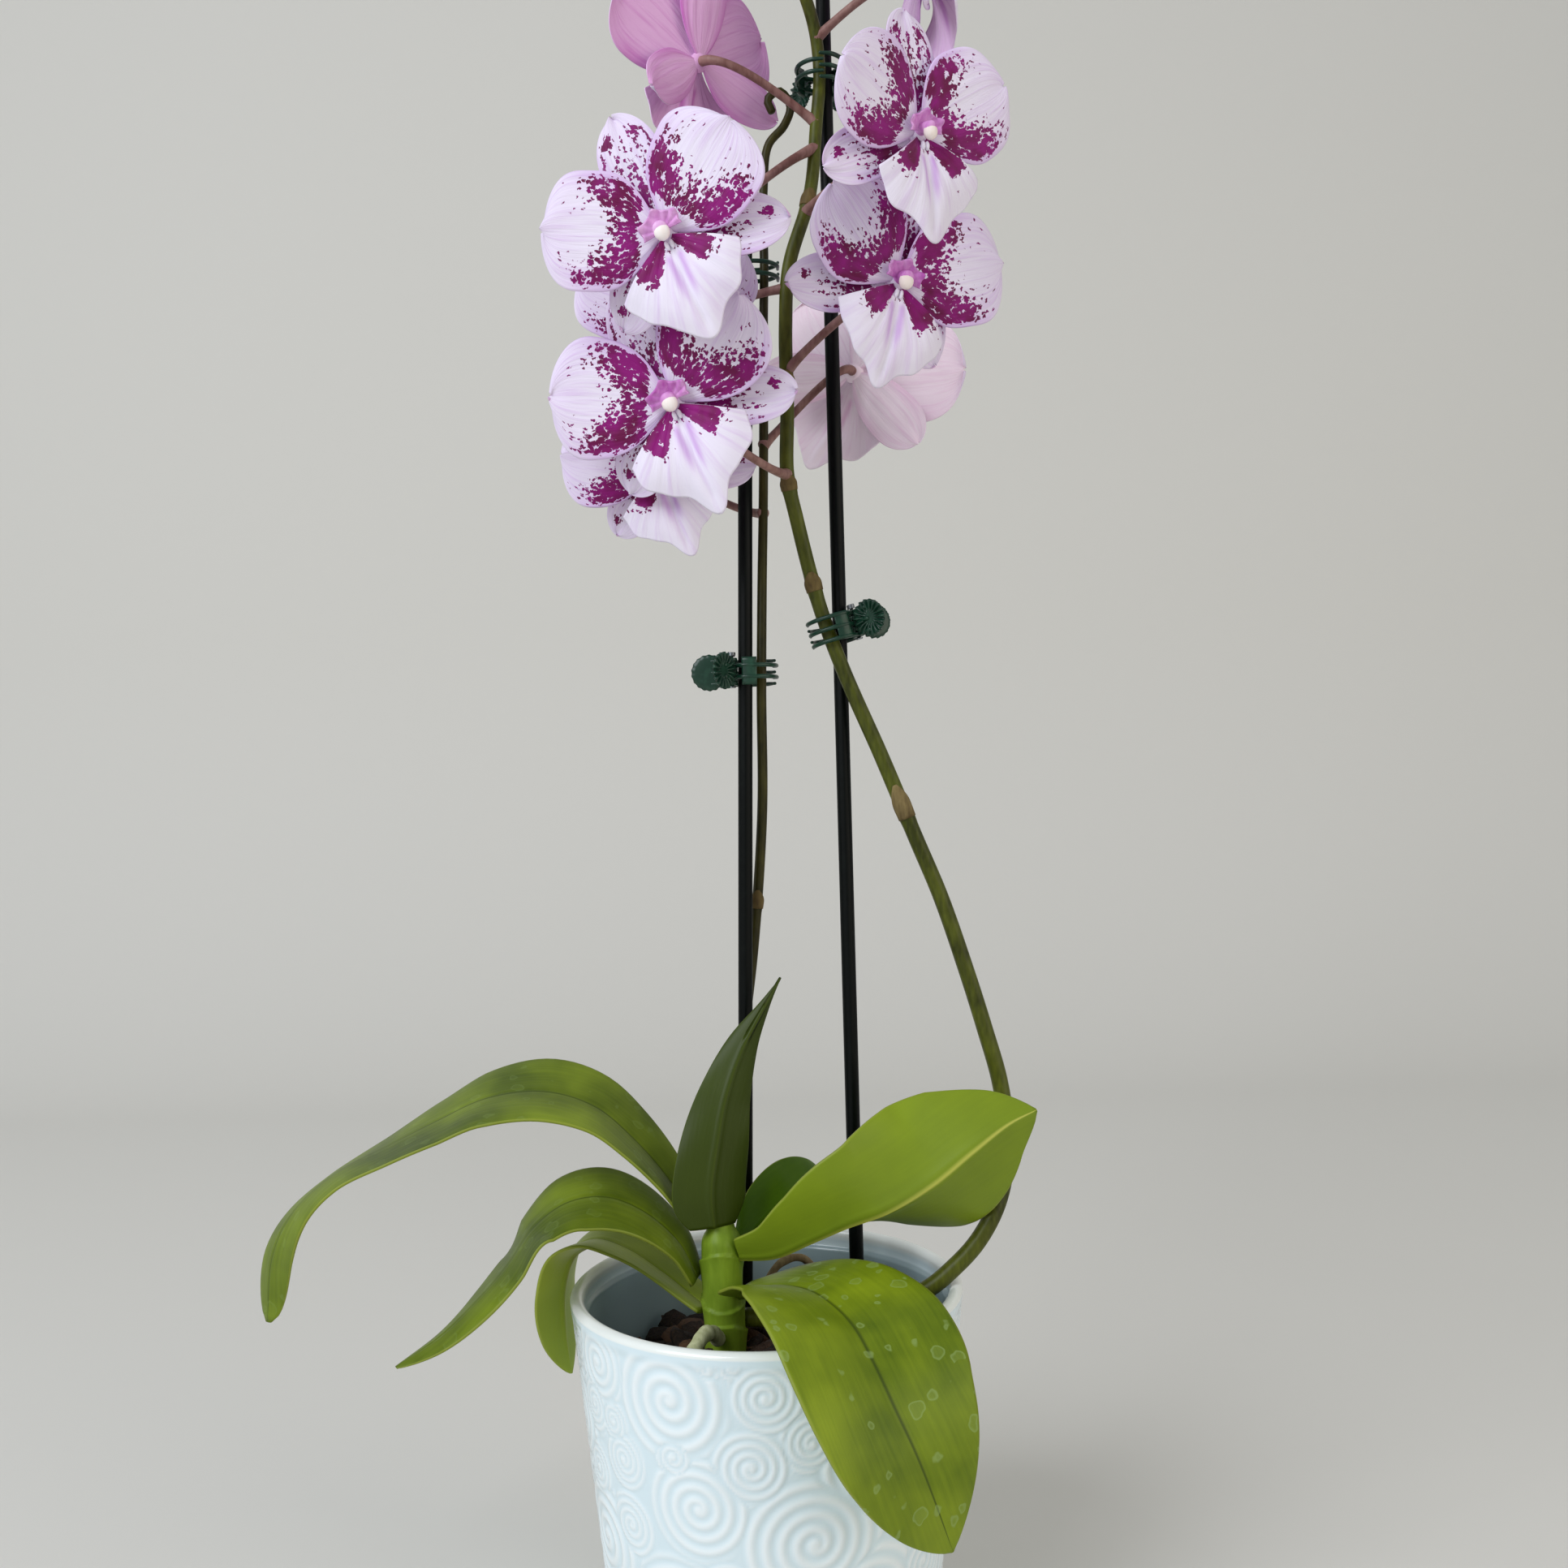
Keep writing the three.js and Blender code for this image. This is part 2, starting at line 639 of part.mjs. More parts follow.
// A pedicel leaves the spike sideways and upwards, or by the point that clears a stake, and comes
// to the bloom's hub from behind.
function pedicel(curve, bloom) {
  const front = facing(bloom);
  const start = curve.getPointAt(bloom.from);
  const end = vector(bloom.at).addScaledVector(front, -bloom.size * (HUB_DEPTH + 0.5) - GAP);
  const way = end.clone().sub(start);
  const leave = bloom.by
    ? vector(bloom.by)
    : start.clone().addScaledVector(way, 0.35).add(new THREE.Vector3(0, 0, 4));
  const arrive = end.clone().addScaledVector(front, -0.3 * way.length());
  return stem(
    new THREE.CubicBezierCurve3(start, leave, arrive, end),
    (s) => PEDICEL_RADIUS * (s > 0.8 ? 1.1 : 1),
    5,
    5,
  );
}

// A bract: a small scale that clasps the spike at a node, on the side that out points to.
function bract(curve, share, radius) {
  const at = curve.getPointAt(share);
  const along = curve.getTangentAt(share);
  const out = new THREE.Vector3(0, -1, 0);
  out.addScaledVector(along, -out.dot(along)).normalize();
  const side = along.clone().cross(out);
  const surface = (u, v) => {
    const turn = v * 1.3 * (1 - 0.7 * u);
    const reach = radius + 0.1 + 0.7 * u;
    return at
      .clone()
      .addScaledVector(along, 8 * u - 1)
      .addScaledVector(out, reach * Math.cos(turn))
      .addScaledVector(side, reach * Math.sin(turn));
  };
  return blade(surface, 0.8, 2, 2);
}

// Buds at the tip of the longer spike, from the oldest to the youngest.
const BUDS = [
  { from: 0.965, at: [12, -24, 642], radius: 7.5 },
  { from: 0.985, at: [-18, -14, 645], radius: 6 },
  { from: 0.998, at: [-9, -28, 650], radius: 4.5 },
];

function bud(curve, { from, at, radius }) {
  const ball = placed(new THREE.IcosahedronGeometry(1, 1), {
    scale: [radius * 0.8, radius * 0.8, radius],
    turn: [0.5, 0.2, 0],
    at,
  });
  const start = curve.getPointAt(from);
  const middle = start.clone().lerp(vector(at), 0.5).add(new THREE.Vector3(0, 0, 3));
  return [ball, stem(new THREE.QuadraticBezierCurve3(start, middle, vector(at)), () => 1.3, 5, 4)];
}

for (const [number, { name, radius, steps, nodes }] of Object.entries(SPIKES)) {
  const curve = smooth(SPIKE_ROUTES[number]);
  curve.arcLengthDivisions = 800;
  const thick = (s) => mix(...radius, s);
  const pieces = [stem(curve, thick, 6, steps)];
  for (const share of nodes) pieces.push(bract(curve, share, thick(share)));
  for (const bloom of Object.values(BLOOMS)) {
    if (bloom.spike === Number(number)) pieces.push(pedicel(curve, bloom));
  }
  if (number === "1") pieces.push(...BUDS.flatMap((b) => bud(curve, b)));
  place(name, geometryOf(union(pieces)), "spike");
}

// Claw clips, in a frame of their own: the pin stands at the origin along Z, the finger discs are
// at -X and the tines close at +X. The first jaw is on the +Y side and opens by turning about +Z.

function strip(points, thickness, low, high) {
  const curve = new THREE.SplineCurve(points.map(([x, y]) => new THREE.Vector2(x, y)));
  const steps = points.length - 1;
  const edge = (side) =>
    points.map((_, i) => {
      const at = curve.getPoint(i / steps);
      const along = curve.getTangent(i / steps);
      return new THREE.Vector2(at.x - along.y * side, at.y + along.x * side);
    });
  const outline = [...edge(-thickness / 2), ...edge(thickness / 2).reverse()];
  return new THREE.ExtrudeGeometry(new THREE.Shape(outline), {
    depth: high - low,
    bevelEnabled: false,
  }).translate(0, 0, low);
}

function knuckle(low, high) {
  const ring = new THREE.Shape(circle(CLIP.hinge, 6));
  ring.holes.push(new THREE.Path(circle(CLIP.pinHole, 6)));
  return new THREE.ExtrudeGeometry(ring, { depth: high - low, bevelEnabled: false }).translate(0, 0, low);
}

function jawPath() {
  const { centre, long, wide } = CLIP.belly;
  const onBelly = (degrees) => [
    centre + long * Math.cos(radians(degrees)),
    wide * Math.sin(radians(degrees)),
  ];
  return [[-5.4, 6], [-3, 4.2], [-0.4, 1.7], ...[136, 100, 62, 26, -3].map(onBelly)];
}

function jaw(levels, mirrored) {
  const path = jawPath();
  const half = CLIP.tine / 2;
  const [discX, discY] = CLIP.discAt;
  const pieces = [
    placed(new THREE.CylinderGeometry(CLIP.disc, CLIP.disc, 1.3, 12), {
      turn: [0, 0, radians(-CLIP.flare)],
      at: [discX, discY, 0],
    }),
    strip(path.slice(3, 5), CLIP.wall, -CLIP.height / 2, CLIP.height / 2),
  ];
  for (const level of levels) {
    pieces.push(strip(path, CLIP.wall, level - half, level + half));
    pieces.push(knuckle(level - half, level + half));
  }
  let body = union(pieces);
  if (mirrored) body = body.mirror([0, 1, 0]);
  return geometryOf(body);
}

// The pin, with the coils of its torsion spring round its upper end.
function springPin() {
  const end = CLIP.height / 2 + 0.4;
  const profile = [[0, -end - 0.5], [1.3, -end - 0.5], [1.3, -end], [CLIP.pin, -end], [CLIP.pin, end]];
  for (let coil = 0; coil < 2; coil++) {
    profile.push([1.5, end + 0.35 + coil * 0.7], [1.1, end + 0.7 + coil * 0.7]);
  }
  profile.push([0, end + 1.9]);
  return new THREE.LatheGeometry(profile.map(([r, z]) => new THREE.Vector2(r, z)), 6).rotateX(Math.PI / 2);
}

// Where each clip's pin stands, the way its tines point (degrees about Z), and its tilt.
const CLIPS = {
  1: { pin: [-6.55, 9.8, 349], heading: 27, tilt: 0 },
  2: { pin: [38.85, 11.8, 365.4], heading: 170, tilt: 14 },
  3: { pin: [31.2, 20.4, 565], heading: -88, tilt: 0 },
  4: { pin: [-2.85, 12.2, 494], heading: 8, tilt: 0 },
};

for (const [number, { pin, heading, tilt }] of Object.entries(CLIPS)) {
  const group = new THREE.Group();
  group.position.set(...pin);
  group.rotation.set(0, radians(tilt), radians(heading), "ZYX");
  place(`clip_${number}_jaw_a`, jaw([-2 * CLIP.pitch, 0, 2 * CLIP.pitch], false), "clip", group);
  place(`clip_${number}_jaw_b`, jaw([-CLIP.pitch, CLIP.pitch], true), "clip", group);
  place(`clip_${number}_pin`, springPin(), "wire", group);
  orchid.add(group);
}

export default orchid;
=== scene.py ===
"""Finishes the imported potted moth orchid: a glazed pot with raised spirals, bark, a crown, leaves, spikes,
spotted blooms, coated stakes and claw clips, then a plain studio. Sizes are in millimetres, and a mesh's
points become metres as it is made. Materials and the studio are in metres."""

import logging
import math
from dataclasses import dataclass, field
from enum import Enum, IntEnum

import bpy
import numpy as np
from mathutils import Matrix, Vector


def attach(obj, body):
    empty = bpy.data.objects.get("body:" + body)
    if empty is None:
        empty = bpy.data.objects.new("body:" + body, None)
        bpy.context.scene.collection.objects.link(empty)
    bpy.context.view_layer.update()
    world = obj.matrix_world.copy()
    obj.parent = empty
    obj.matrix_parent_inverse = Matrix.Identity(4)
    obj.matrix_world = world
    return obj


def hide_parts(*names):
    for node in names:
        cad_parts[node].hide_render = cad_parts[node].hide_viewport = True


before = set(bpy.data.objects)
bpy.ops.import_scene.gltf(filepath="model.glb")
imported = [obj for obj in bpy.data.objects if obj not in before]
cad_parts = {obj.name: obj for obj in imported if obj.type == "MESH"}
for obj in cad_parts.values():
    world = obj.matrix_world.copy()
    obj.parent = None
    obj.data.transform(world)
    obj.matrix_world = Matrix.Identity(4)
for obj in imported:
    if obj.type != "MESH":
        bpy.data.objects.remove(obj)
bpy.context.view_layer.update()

log = logging.getLogger("orchid")
Array = np.ndarray
Colour = tuple[float, float, float, float]
Socket = bpy.types.NodeSocket
MM = 0.001
PLANT = "plant"


# Colours and nodes


def linear(code: str) -> Colour:
    """Turns an sRGB hex colour into the linear colour that a node takes.

    Args:
        code: Six hex digits, such as "e9f2f5".

    Returns:
        Red, green, blue and 1, each share above 0.04045 being ((c + 0.055) / 1.055) to the power 2.4.
    """
    shares = np.array([int(code[k : k + 2], 16) / 255 for k in (0, 2, 4)])
    low, high = shares / 12.92, ((shares + 0.055) / 1.055) ** 2.4
    red, green, blue = np.where(shares <= 0.04045, low, high)
    return (float(red), float(green), float(blue), 1.0)


def add_node(tree: bpy.types.NodeTree, kind: str, inputs: dict | None = None, **settings) -> bpy.types.Node:
    """Adds a node, sets its properties and fills its inputs.

    Args:
        tree: The material's node tree.
        kind: The node's type name.
        inputs: Input name or number, with a value or another node's output.
        settings: Properties of the node.

    Returns:
        The new node.
    """
    made = tree.nodes.new(kind)
    for name, value in settings.items():
        setattr(made, name, value)
    for name, value in (inputs or {}).items():
        if isinstance(value, bpy.types.NodeSocket):
            tree.links.new(value, made.inputs[name])
        else:
            made.inputs[name].default_value = value
    return made


# Shapes: whole arrays of points, with faces by corner number


def smooth(low: float | Array, high: float | Array, x: Array) -> Array:
    """The smooth step t * t * (3 - 2 t), with t the share of the way from low to high, held to 0 and 1."""
    t = np.clip((x - low) / (high - low), 0, 1)
    return t * t * (3 - 2 * t)


def bell(x: Array, centre: float, width: float) -> Array:
    """The bell exp(-((x - centre) / width) ** 2)."""
    return np.exp(-(((x - centre) / width) ** 2))


def unit(vectors: Array) -> Array:
    """Vectors of length 1 along the last axis."""
    return vectors / np.maximum(np.linalg.norm(vectors, axis=-1, keepdims=True), 1e-9)


def mix(a: float | Array, b: float | Array, share: float | Array) -> float | Array:
    """The value at that share of the way from a to b."""
    return a + (b - a) * share


def circle(count: int) -> Array:
    """Angles once round in this many even steps, the last one short of the first."""
    return np.linspace(0, 2 * np.pi, count, endpoint=False)


def grid_quads(rows: int, columns: int, wrap: bool = False) -> Array:
    """Corner numbers of a grid's faces, each (i, j), (i, j + 1), (i + 1, j + 1), (i + 1, j).

    Args:
        rows: Points along the first parameter.
        columns: Points along the second.
        wrap: True where the last column joins the first.

    Returns:
        An array of four corners a face, whose normal is the second way times the first.
    """
    i, j = np.meshgrid(np.arange(rows - 1), np.arange(columns if wrap else columns - 1), indexing="ij")
    near, far = i * columns + j, i * columns + (j + 1) % columns
    return np.stack([near, far, far + columns, near + columns], -1).reshape(-1, 4)


@dataclass
class Shape:
    """A surface: points in millimetres, faces, a finish number by face and named marks by point."""

    points: Array
    quads: Array
    tris: Array = field(default_factory=lambda: np.zeros((0, 3), int))
    marks: dict[str, Array] = field(default_factory=dict)
    finish: int | Array = 0

    def finishes(self) -> Array:
        """The finish number of every face, four-sided ones first."""
        return np.broadcast_to(self.finish, len(self.quads) + len(self.tris))

    def placed(self, matrix: Matrix) -> "Shape":
        """The same shape with its points moved by a 4 x 4 matrix in millimetres."""
        m = np.array(matrix)
        return Shape(self.points @ m[:3, :3].T + m[:3, 3], self.quads, self.tris, self.marks, self.finish)

    def mirrored(self) -> "Shape":
        """The same shape with y turned to -y, and its faces turned outwards again."""
        flat = self.points * [1, -1, 1]
        return Shape(flat, self.quads[:, ::-1], self.tris[:, ::-1], self.marks, self.finish)


def joined(shapes: list[Shape]) -> Shape:
    """One shape of several, a mark that one of them lacks being 0 there.

    Args:
        shapes: The shapes, in any order.

    Returns:
        Their points, faces, marks and finishes in one.
    """
    offsets = np.cumsum([0] + [len(s.points) for s in shapes])
    marks = {}
    for name in {key: None for s in shapes for key in s.marks}:
        form = next(s.marks[name].shape[1:] for s in shapes if name in s.marks)
        marks[name] = np.concatenate([s.marks.get(name, np.zeros((len(s.points), *form))) for s in shapes])
    split = [np.split(s.finishes(), [len(s.quads)]) for s in shapes]
    return Shape(
        np.concatenate([s.points for s in shapes]),
        np.concatenate([s.quads + o for s, o in zip(shapes, offsets)]),
        np.concatenate([s.tris + o for s, o in zip(shapes, offsets)]),
        marks,
        np.concatenate([part[0] for part in split] + [part[1] for part in split]),
    )


def shell(points: Array, start: Array | None = None, end: Array | None = None, **marks: Array) -> Shape:
    """A closed round shape from rings of points, each end closed by a fan to a pole.

    Args:
        points: Rings by columns by 3, a ring turning from its first axis to its second as seen from its end.
        start: The pole before the first ring, or None for the ring's own middle.
        end: The pole after the last ring, or None for the ring's own middle.
        marks: Rings by columns, or rings by columns by 3.

    Returns:
        The shape, with the poles as its last two points.
    """
    rows, columns = points.shape[:2]
    poles = [points[0].mean(0) if start is None else start, points[-1].mean(0) if end is None else end]
    k = np.arange(columns)
    after, last = (k + 1) % columns, (rows - 1) * columns
    first_fan = np.stack([np.full(columns, rows * columns), after, k], 1)
    last_fan = np.stack([last + k, last + after, np.full(columns, rows * columns + 1)], 1)
    flat = {n: np.concatenate([m.reshape(-1, *m.shape[2:]), m[[0, -1], 0]]) for n, m in marks.items()}
    return Shape(
        np.concatenate([points.reshape(-1, 3), poles]),
        grid_quads(rows, columns, True),
        np.concatenate([first_fan, last_fan]),
        flat,
    )


def lathe(profile: Array, columns: int) -> Array:
    """Turns a profile about the Z axis.

    Args:
        profile: Points (r, z).
        columns: Points on each ring.

    Returns:
        Rings (r cos a, r sin a, z), one for each point, the angle a going once round.
    """
    a = circle(columns)
    r, z = profile[:, :1], profile[:, 1:]
    return np.stack([r * np.cos(a), r * np.sin(a), z + 0 * a], -1)


def ball(centre: tuple, radii: tuple, rows: int, columns: int) -> Shape:
    """A closed rounded form.

    Args:
        centre: Its middle.
        radii: Its half sizes along X, Y and Z.
        rows: Rings between the poles.
        columns: Points on each ring.

    Returns:
        centre + radii * (sin p cos a, sin p sin a, -cos p), p going from pole to pole and a once round.
    """
    p = np.linspace(0, np.pi, rows + 2)[1:-1, None]
    a = circle(columns)[None]
    rings = np.stack([np.sin(p) * np.cos(a), np.sin(p) * np.sin(a), -np.cos(p) + 0 * a], -1)
    up = np.array([0, 0, radii[2]])
    return shell(np.array(centre) + rings * np.array(radii), np.array(centre) - up, np.array(centre) + up)


def sheet(points: Array, thickness: float | Array, **marks: Array) -> Shape:
    """A closed sheet: the grid lifted half its thickness to both faces, with a strip round its edge.

    Args:
        points: Rows by columns by 3. The front is the side of (way across) times (way along).
        thickness: The thickness, or one for each point.
        marks: Values by point. The mark "front" is added: 1 on the front and 0 on the back.

    Returns:
        The shape, its front points first.
    """
    rows, columns = points.shape[:2]
    normal = unit(np.cross(np.gradient(points, axis=1), np.gradient(points, axis=0)))
    half = np.broadcast_to(thickness, (rows, columns))[..., None] / 2
    quads, n = grid_quads(rows, columns), rows * columns
    right, left = np.arange(rows) * columns + columns - 1, np.arange(rows)[::-1] * columns
    edge = np.concatenate([np.arange(columns - 1), right[:-1], n - 1 - np.arange(columns - 1), left[:-1]])
    after = np.roll(edge, -1)
    strip = np.stack([after, edge, edge + n, after + n], 1)
    both = {name: np.concatenate([m.reshape(n, *m.shape[2:])] * 2) for name, m in marks.items()}
    both["front"] = np.repeat([1.0, 0.0], n)
    faces = np.concatenate([quads, quads[:, ::-1] + n, strip])
    front, back = points + normal * half, points - normal * half
    return Shape(np.concatenate([front.reshape(-1, 3), back.reshape(-1, 3)]), faces, marks=both)


@dataclass
class Route:
    """A smooth line through points, a centripetal Catmull-Rom spline, read by the share of its length."""

    points: list

    def by_parameter(self, t: Array) -> Array:
        """The spline at parameter t, each stretch taking the same share.

        Args:
            t: Shares from 0 to 1.

        Returns:
            Points by 3. Each stretch is the cubic whose slopes weigh its neighbours by the root of their
            spacing.
        """
        known = np.array(self.points, float)
        padded = np.concatenate([[2 * known[0] - known[1]], known, [2 * known[-1] - known[-2]]])
        place = np.clip(np.asarray(t, float), 0, 1) * (len(known) - 1)
        i = np.minimum(place.astype(int), len(known) - 2)
        w = (place - i)[..., None]
        a, b, c, d = (padded[i + k] for k in range(4))
        gap = [np.linalg.norm(q - p, axis=-1, keepdims=True) ** 0.5 for p, q in ((a, b), (b, c), (c, d))]
        out = ((b - a) / gap[0] - (c - a) / (gap[0] + gap[1]) + (c - b) / gap[1]) * gap[1]
        back = ((c - b) / gap[1] - (d - b) / (gap[1] + gap[2]) + (d - c) / gap[2]) * gap[1]
        cubic = (2 * b - 2 * c + out + back) * w + (-3 * b + 3 * c - 2 * out - back)
        return b + out * w + cubic * w * w

    def at(self, share: Array | float) -> Array:
        """The points at these shares of the length.

        Args:
            share: Shares from 0 to 1.

        Returns:
            The spline where its length, summed over 1600 short steps, has reached each share.
        """
        t = np.linspace(0, 1, 1600)
        steps = np.linalg.norm(np.diff(self.by_parameter(t), axis=0), axis=1)
        length = np.concatenate([[0], np.cumsum(steps)])
        return self.by_parameter(np.interp(np.asarray(share) * length[-1], length, t))

    def way(self, share: Array | float) -> Array:
        """The unit way along the line at these shares, from points just before and after."""
        s = np.asarray(share, float)
        return unit(self.at(np.minimum(s + 1e-3, 1)) - self.at(np.maximum(s - 1e-3, 0)))


def bezier(points: list, t: Array) -> Array:
    """The Bezier curve of three or four points.

    Args:
        points: The points that draw it.
        t: Where to read it, from 0 to 1.

    Returns:
        The sum of the points, each by its Bernstein share at t.
    """
    n = len(points) - 1
    shares = [math.comb(n, k) * ((1 - t) ** (n - k) * t**k) for k in range(n + 1)]
    return sum(share[:, None] * np.array(point, float) for share, point in zip(shares, points))


def swept(centres: Array, radius: float | Array, sides: int, crown: float = 0.6) -> Shape:
    """A round stem along a line: centre + r (n cos a + b sin a), with rounded ends.

    Args:
        centres: The line's points, by 3.
        radius: One radius, one for each point, or one for each point and side.
        sides: Points round the stem.
        crown: How far the rounded ends stand out, as a share of the radius.

    Returns:
        The closed shape. n is the line's flattest way made square to it, and b is along times n.
    """
    along = unit(np.gradient(centres, axis=0))
    level = np.linalg.svd(centres - centres.mean(0))[2][2]
    n = unit(level - along * (along @ level)[:, None])
    b = np.cross(along, n)
    a = circle(sides)
    around = np.cos(a)[None, :, None] * n[:, None] + np.sin(a)[None, :, None] * b[:, None]
    r = np.asarray(radius, float)
    r = np.broadcast_to(r if r.ndim == 2 else r.reshape(-1, 1), (len(centres), sides))[..., None]
    rings = centres[:, None] + r * around
    cap = np.radians([70, 45, 20])
    rise = crown * np.sin(cap)[:, None] * r.mean(1)[[0, -1]].T
    low = centres[0] - rise[:, :1] * along[0]
    high = centres[-1] + rise[:, 1:] * along[-1]
    first = low[:, None] + np.cos(cap)[:, None, None] * r[0] * around[0]
    final = high[::-1][:, None] + np.cos(cap[::-1])[:, None, None] * r[-1] * around[-1]
    top = crown * r.mean(1)[:, 0]
    points = np.concatenate([first, rings, final])
    return shell(points, centres[0] - top[0] * along[0], centres[-1] + top[-1] * along[-1])


def add_object(name: str, data: bpy.types.ID) -> bpy.types.Object:
    """Links a new object to the scene.

    Args:
        name: Its name.
        data: Its mesh, light or camera.

    Returns:
        The object.
    """
    made = bpy.data.objects.new(name, data)
    bpy.context.scene.collection.objects.link(made)
    return made


def new_mesh(name: str, points: Array, faces: list, finishes: list) -> bpy.types.Mesh:
    """A mesh whose faces are all smooth.

    Args:
        name: Its name.
        points: Its points in metres.
        faces: The corner numbers of each face.
        finishes: The finishes that its face numbers choose from.

    Returns:
        The mesh.
    """
    mesh = bpy.data.meshes.new(name)
    mesh.from_pydata(points.tolist(), [], faces)
    mesh.polygons.foreach_set("use_smooth", np.ones(len(mesh.polygons), bool))
    for finish in finishes:
        mesh.materials.append(finish.material())
    return mesh


def add_piece(name: str, shape: Shape, finishes: list, replaces: str, body: str = PLANT) -> None:
    """Makes a piece of a shape and hands it to the frame.

    Args:
        name: The piece's name.
        shape: Its surface in millimetres.
        finishes: The finishes that its face numbers choose from.
        replaces: The CAD node that it stands for.
        body: The CAD body that it rides on.
    """
    mesh = new_mesh(name, shape.points * MM, shape.quads.tolist() + shape.tris.tolist(), finishes)
    for key, values in shape.marks.items():
        three = values.ndim == 2
        layer = mesh.attributes.new(key, "FLOAT_VECTOR" if three else "FLOAT", "POINT")
        layer.data.foreach_set("vector" if three else "value", values.astype(np.float32).ravel())
    mesh.polygons.foreach_set("material_index", shape.finishes().astype(np.int32))
    mesh.update()
    made = add_object(name, mesh)
    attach(made, body)
    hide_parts(replaces)
    log.info("%s: %d faces", name, len(mesh.polygons))


# Finishes


@dataclass(frozen=True)
class Recipe:
    """The nodes of one material. Each method adds a node and gives the output that is used of it."""

    tree: bpy.types.NodeTree

    def add(self, kind: str, inputs: dict, output: str | int = 0, **settings) -> Socket:
        """One shader node of this kind, by the output of this name or number."""
        return add_node(self.tree, f"ShaderNode{kind}", inputs, **settings).outputs[output]

    def place(self) -> Socket:
        """The place on the object, in metres."""
        return self.add("TexCoord", {}, "Object")

    def mark(self, name: str, output: str = "Fac") -> Socket:
        """A mark of the mesh's points, its output "Fac" for one number and "Vector" for three."""
        return self.add("Attribute", {}, output, attribute_name=name)

    def scaled(self, vector: Socket, scale: tuple) -> Socket:
        """A vector with each of its parts multiplied."""
        return self.add("Mapping", {"Vector": vector, "Scale": scale})

    def noise(self, vector: Socket, scale: float, detail: float, output: str = "Fac") -> Socket:
        """Soft noise whose patches are about 1 / scale across."""
        return self.add("TexNoise", {"Vector": vector, "Scale": scale, "Detail": detail}, output)

    def bent(self, vector: Socket, noise: Socket, amount: tuple) -> Socket:
        """A vector with a noise's colour added to it, this many times over."""
        return self.add("VectorMath", {0: noise, 1: amount, 2: vector}, operation="MULTIPLY_ADD")

    def cells(self, vector: Socket, scale: float) -> tuple[Socket, Socket, Socket]:
        """Cells scattered about 1 / scale apart.

        Args:
            vector: The place to read them at.
            scale: Cells to each unit.

        Returns:
            The distance to the cell's middle, in cells, and the two random numbers from 0 to 1 that each
            cell keeps.
        """
        cells = add_node(self.tree, "ShaderNodeTexVoronoi", {"Vector": vector, "Scale": scale}).outputs
        own = add_node(self.tree, "ShaderNodeSeparateColor", {"Color": cells["Color"]}).outputs
        return cells["Distance"], own["Red"], own["Green"]

    def math(self, operation: str, *values: float | Socket, **settings) -> Socket:
        """The result of an operation on two or three numbers."""
        return self.add("Math", dict(enumerate(values)), operation=operation, **settings)

    def ramp(
        self,
        value: Socket,
        low: float = 0.0,
        high: float = 1.0,
        first: float = 0.0,
        last: float = 1.0,
        soft: bool = False,
    ) -> Socket:
        """Moves a number from one range to another and holds it to that.

        Args:
            value: The number.
            low: What becomes first.
            high: What becomes last.
            first: The result at low.
            last: The result at high.
            soft: True for a smooth step instead of a straight line.

        Returns:
            The moved number.
        """
        ends = {"Value": value, "From Min": low, "From Max": high, "To Min": first, "To Max": last}
        return self.add("MapRange", ends, interpolation_type="SMOOTHSTEP" if soft else "LINEAR")

    def blend(self, share: Socket, first: str | Socket, second: str | Socket) -> Socket:
        """The colour at this share of the way between two, each a hex code or a node's colour."""
        a, b = (linear(colour) if isinstance(colour, str) else colour for colour in (first, second))
        return self.add("Mix", {0: share, 6: a, 7: b}, 2, data_type="RGBA")

    def bump(self, height: Socket, strength: float, distance: float) -> Socket:
        """The normal of a surface raised by this height, in metres at full strength."""
        return self.add("Bump", {"Height": height, "Strength": strength, "Distance": distance}, "Normal")


@dataclass(frozen=True)
class Finish:
    """What every finish has: a name, and its own way to fill one principled shader."""

    name: str

    def material(self) -> bpy.types.Material:
        """The material of this finish, made once.

        Returns:
            The material, of the nodes that surface adds, the shader that they fill and the output.
        """
        known = bpy.data.materials.get(self.name)
        if known:
            return known
        made = bpy.data.materials.new(self.name)
        made.use_nodes = True
        made.node_tree.nodes.clear()
        shader = add_node(made.node_tree, "ShaderNodeBsdfPrincipled", self.surface(Recipe(made.node_tree)))
        add_node(made.node_tree, "ShaderNodeOutputMaterial", {"Surface": shader.outputs["BSDF"]})
        return made

    def surface(self, nodes: Recipe) -> dict:
        """The shader's inputs, which each finish works out in its own way."""
        raise NotImplementedError


@dataclass(frozen=True)
class GlazedCeramic(Finish):
    """White glazed stoneware, cast in a mould and dipped. The glaze is glassy, thins to a warmer white on
    high edges and pools a little bluer in the valleys between the raised spirals."""

    high: str = "f0f8fa"
    low: str = "dcedf3"
    # Painted shade: the same glaze inside the pot, coloured darker and greyer as the shade that falls there
    inside: str = "9fb4ba"
    lip: str = "f1f4ee"

    def surface(self, nodes: Recipe) -> dict:
        """Colour by the relief's height and the place on the pot, the inner wall painted darker as shade,
        with a slow 9 mm unevenness in the glaze.

        Args:
            nodes: Adds the nodes.

        Returns:
            The shader's inputs.
        """
        glaze = nodes.blend(nodes.mark("relief"), self.low, self.high)
        # Painted shade over the inner wall
        within = nodes.blend(nodes.mark("inside"), glaze, self.inside)
        return {
            "Base Color": nodes.blend(nodes.mark("lip"), within, self.lip),
            "Roughness": 0.13,
            "IOR": 1.52,
            "Normal": nodes.bump(nodes.noise(nodes.place(), 1 / 0.009, 2.0), 0.25, 0.0004),
        }


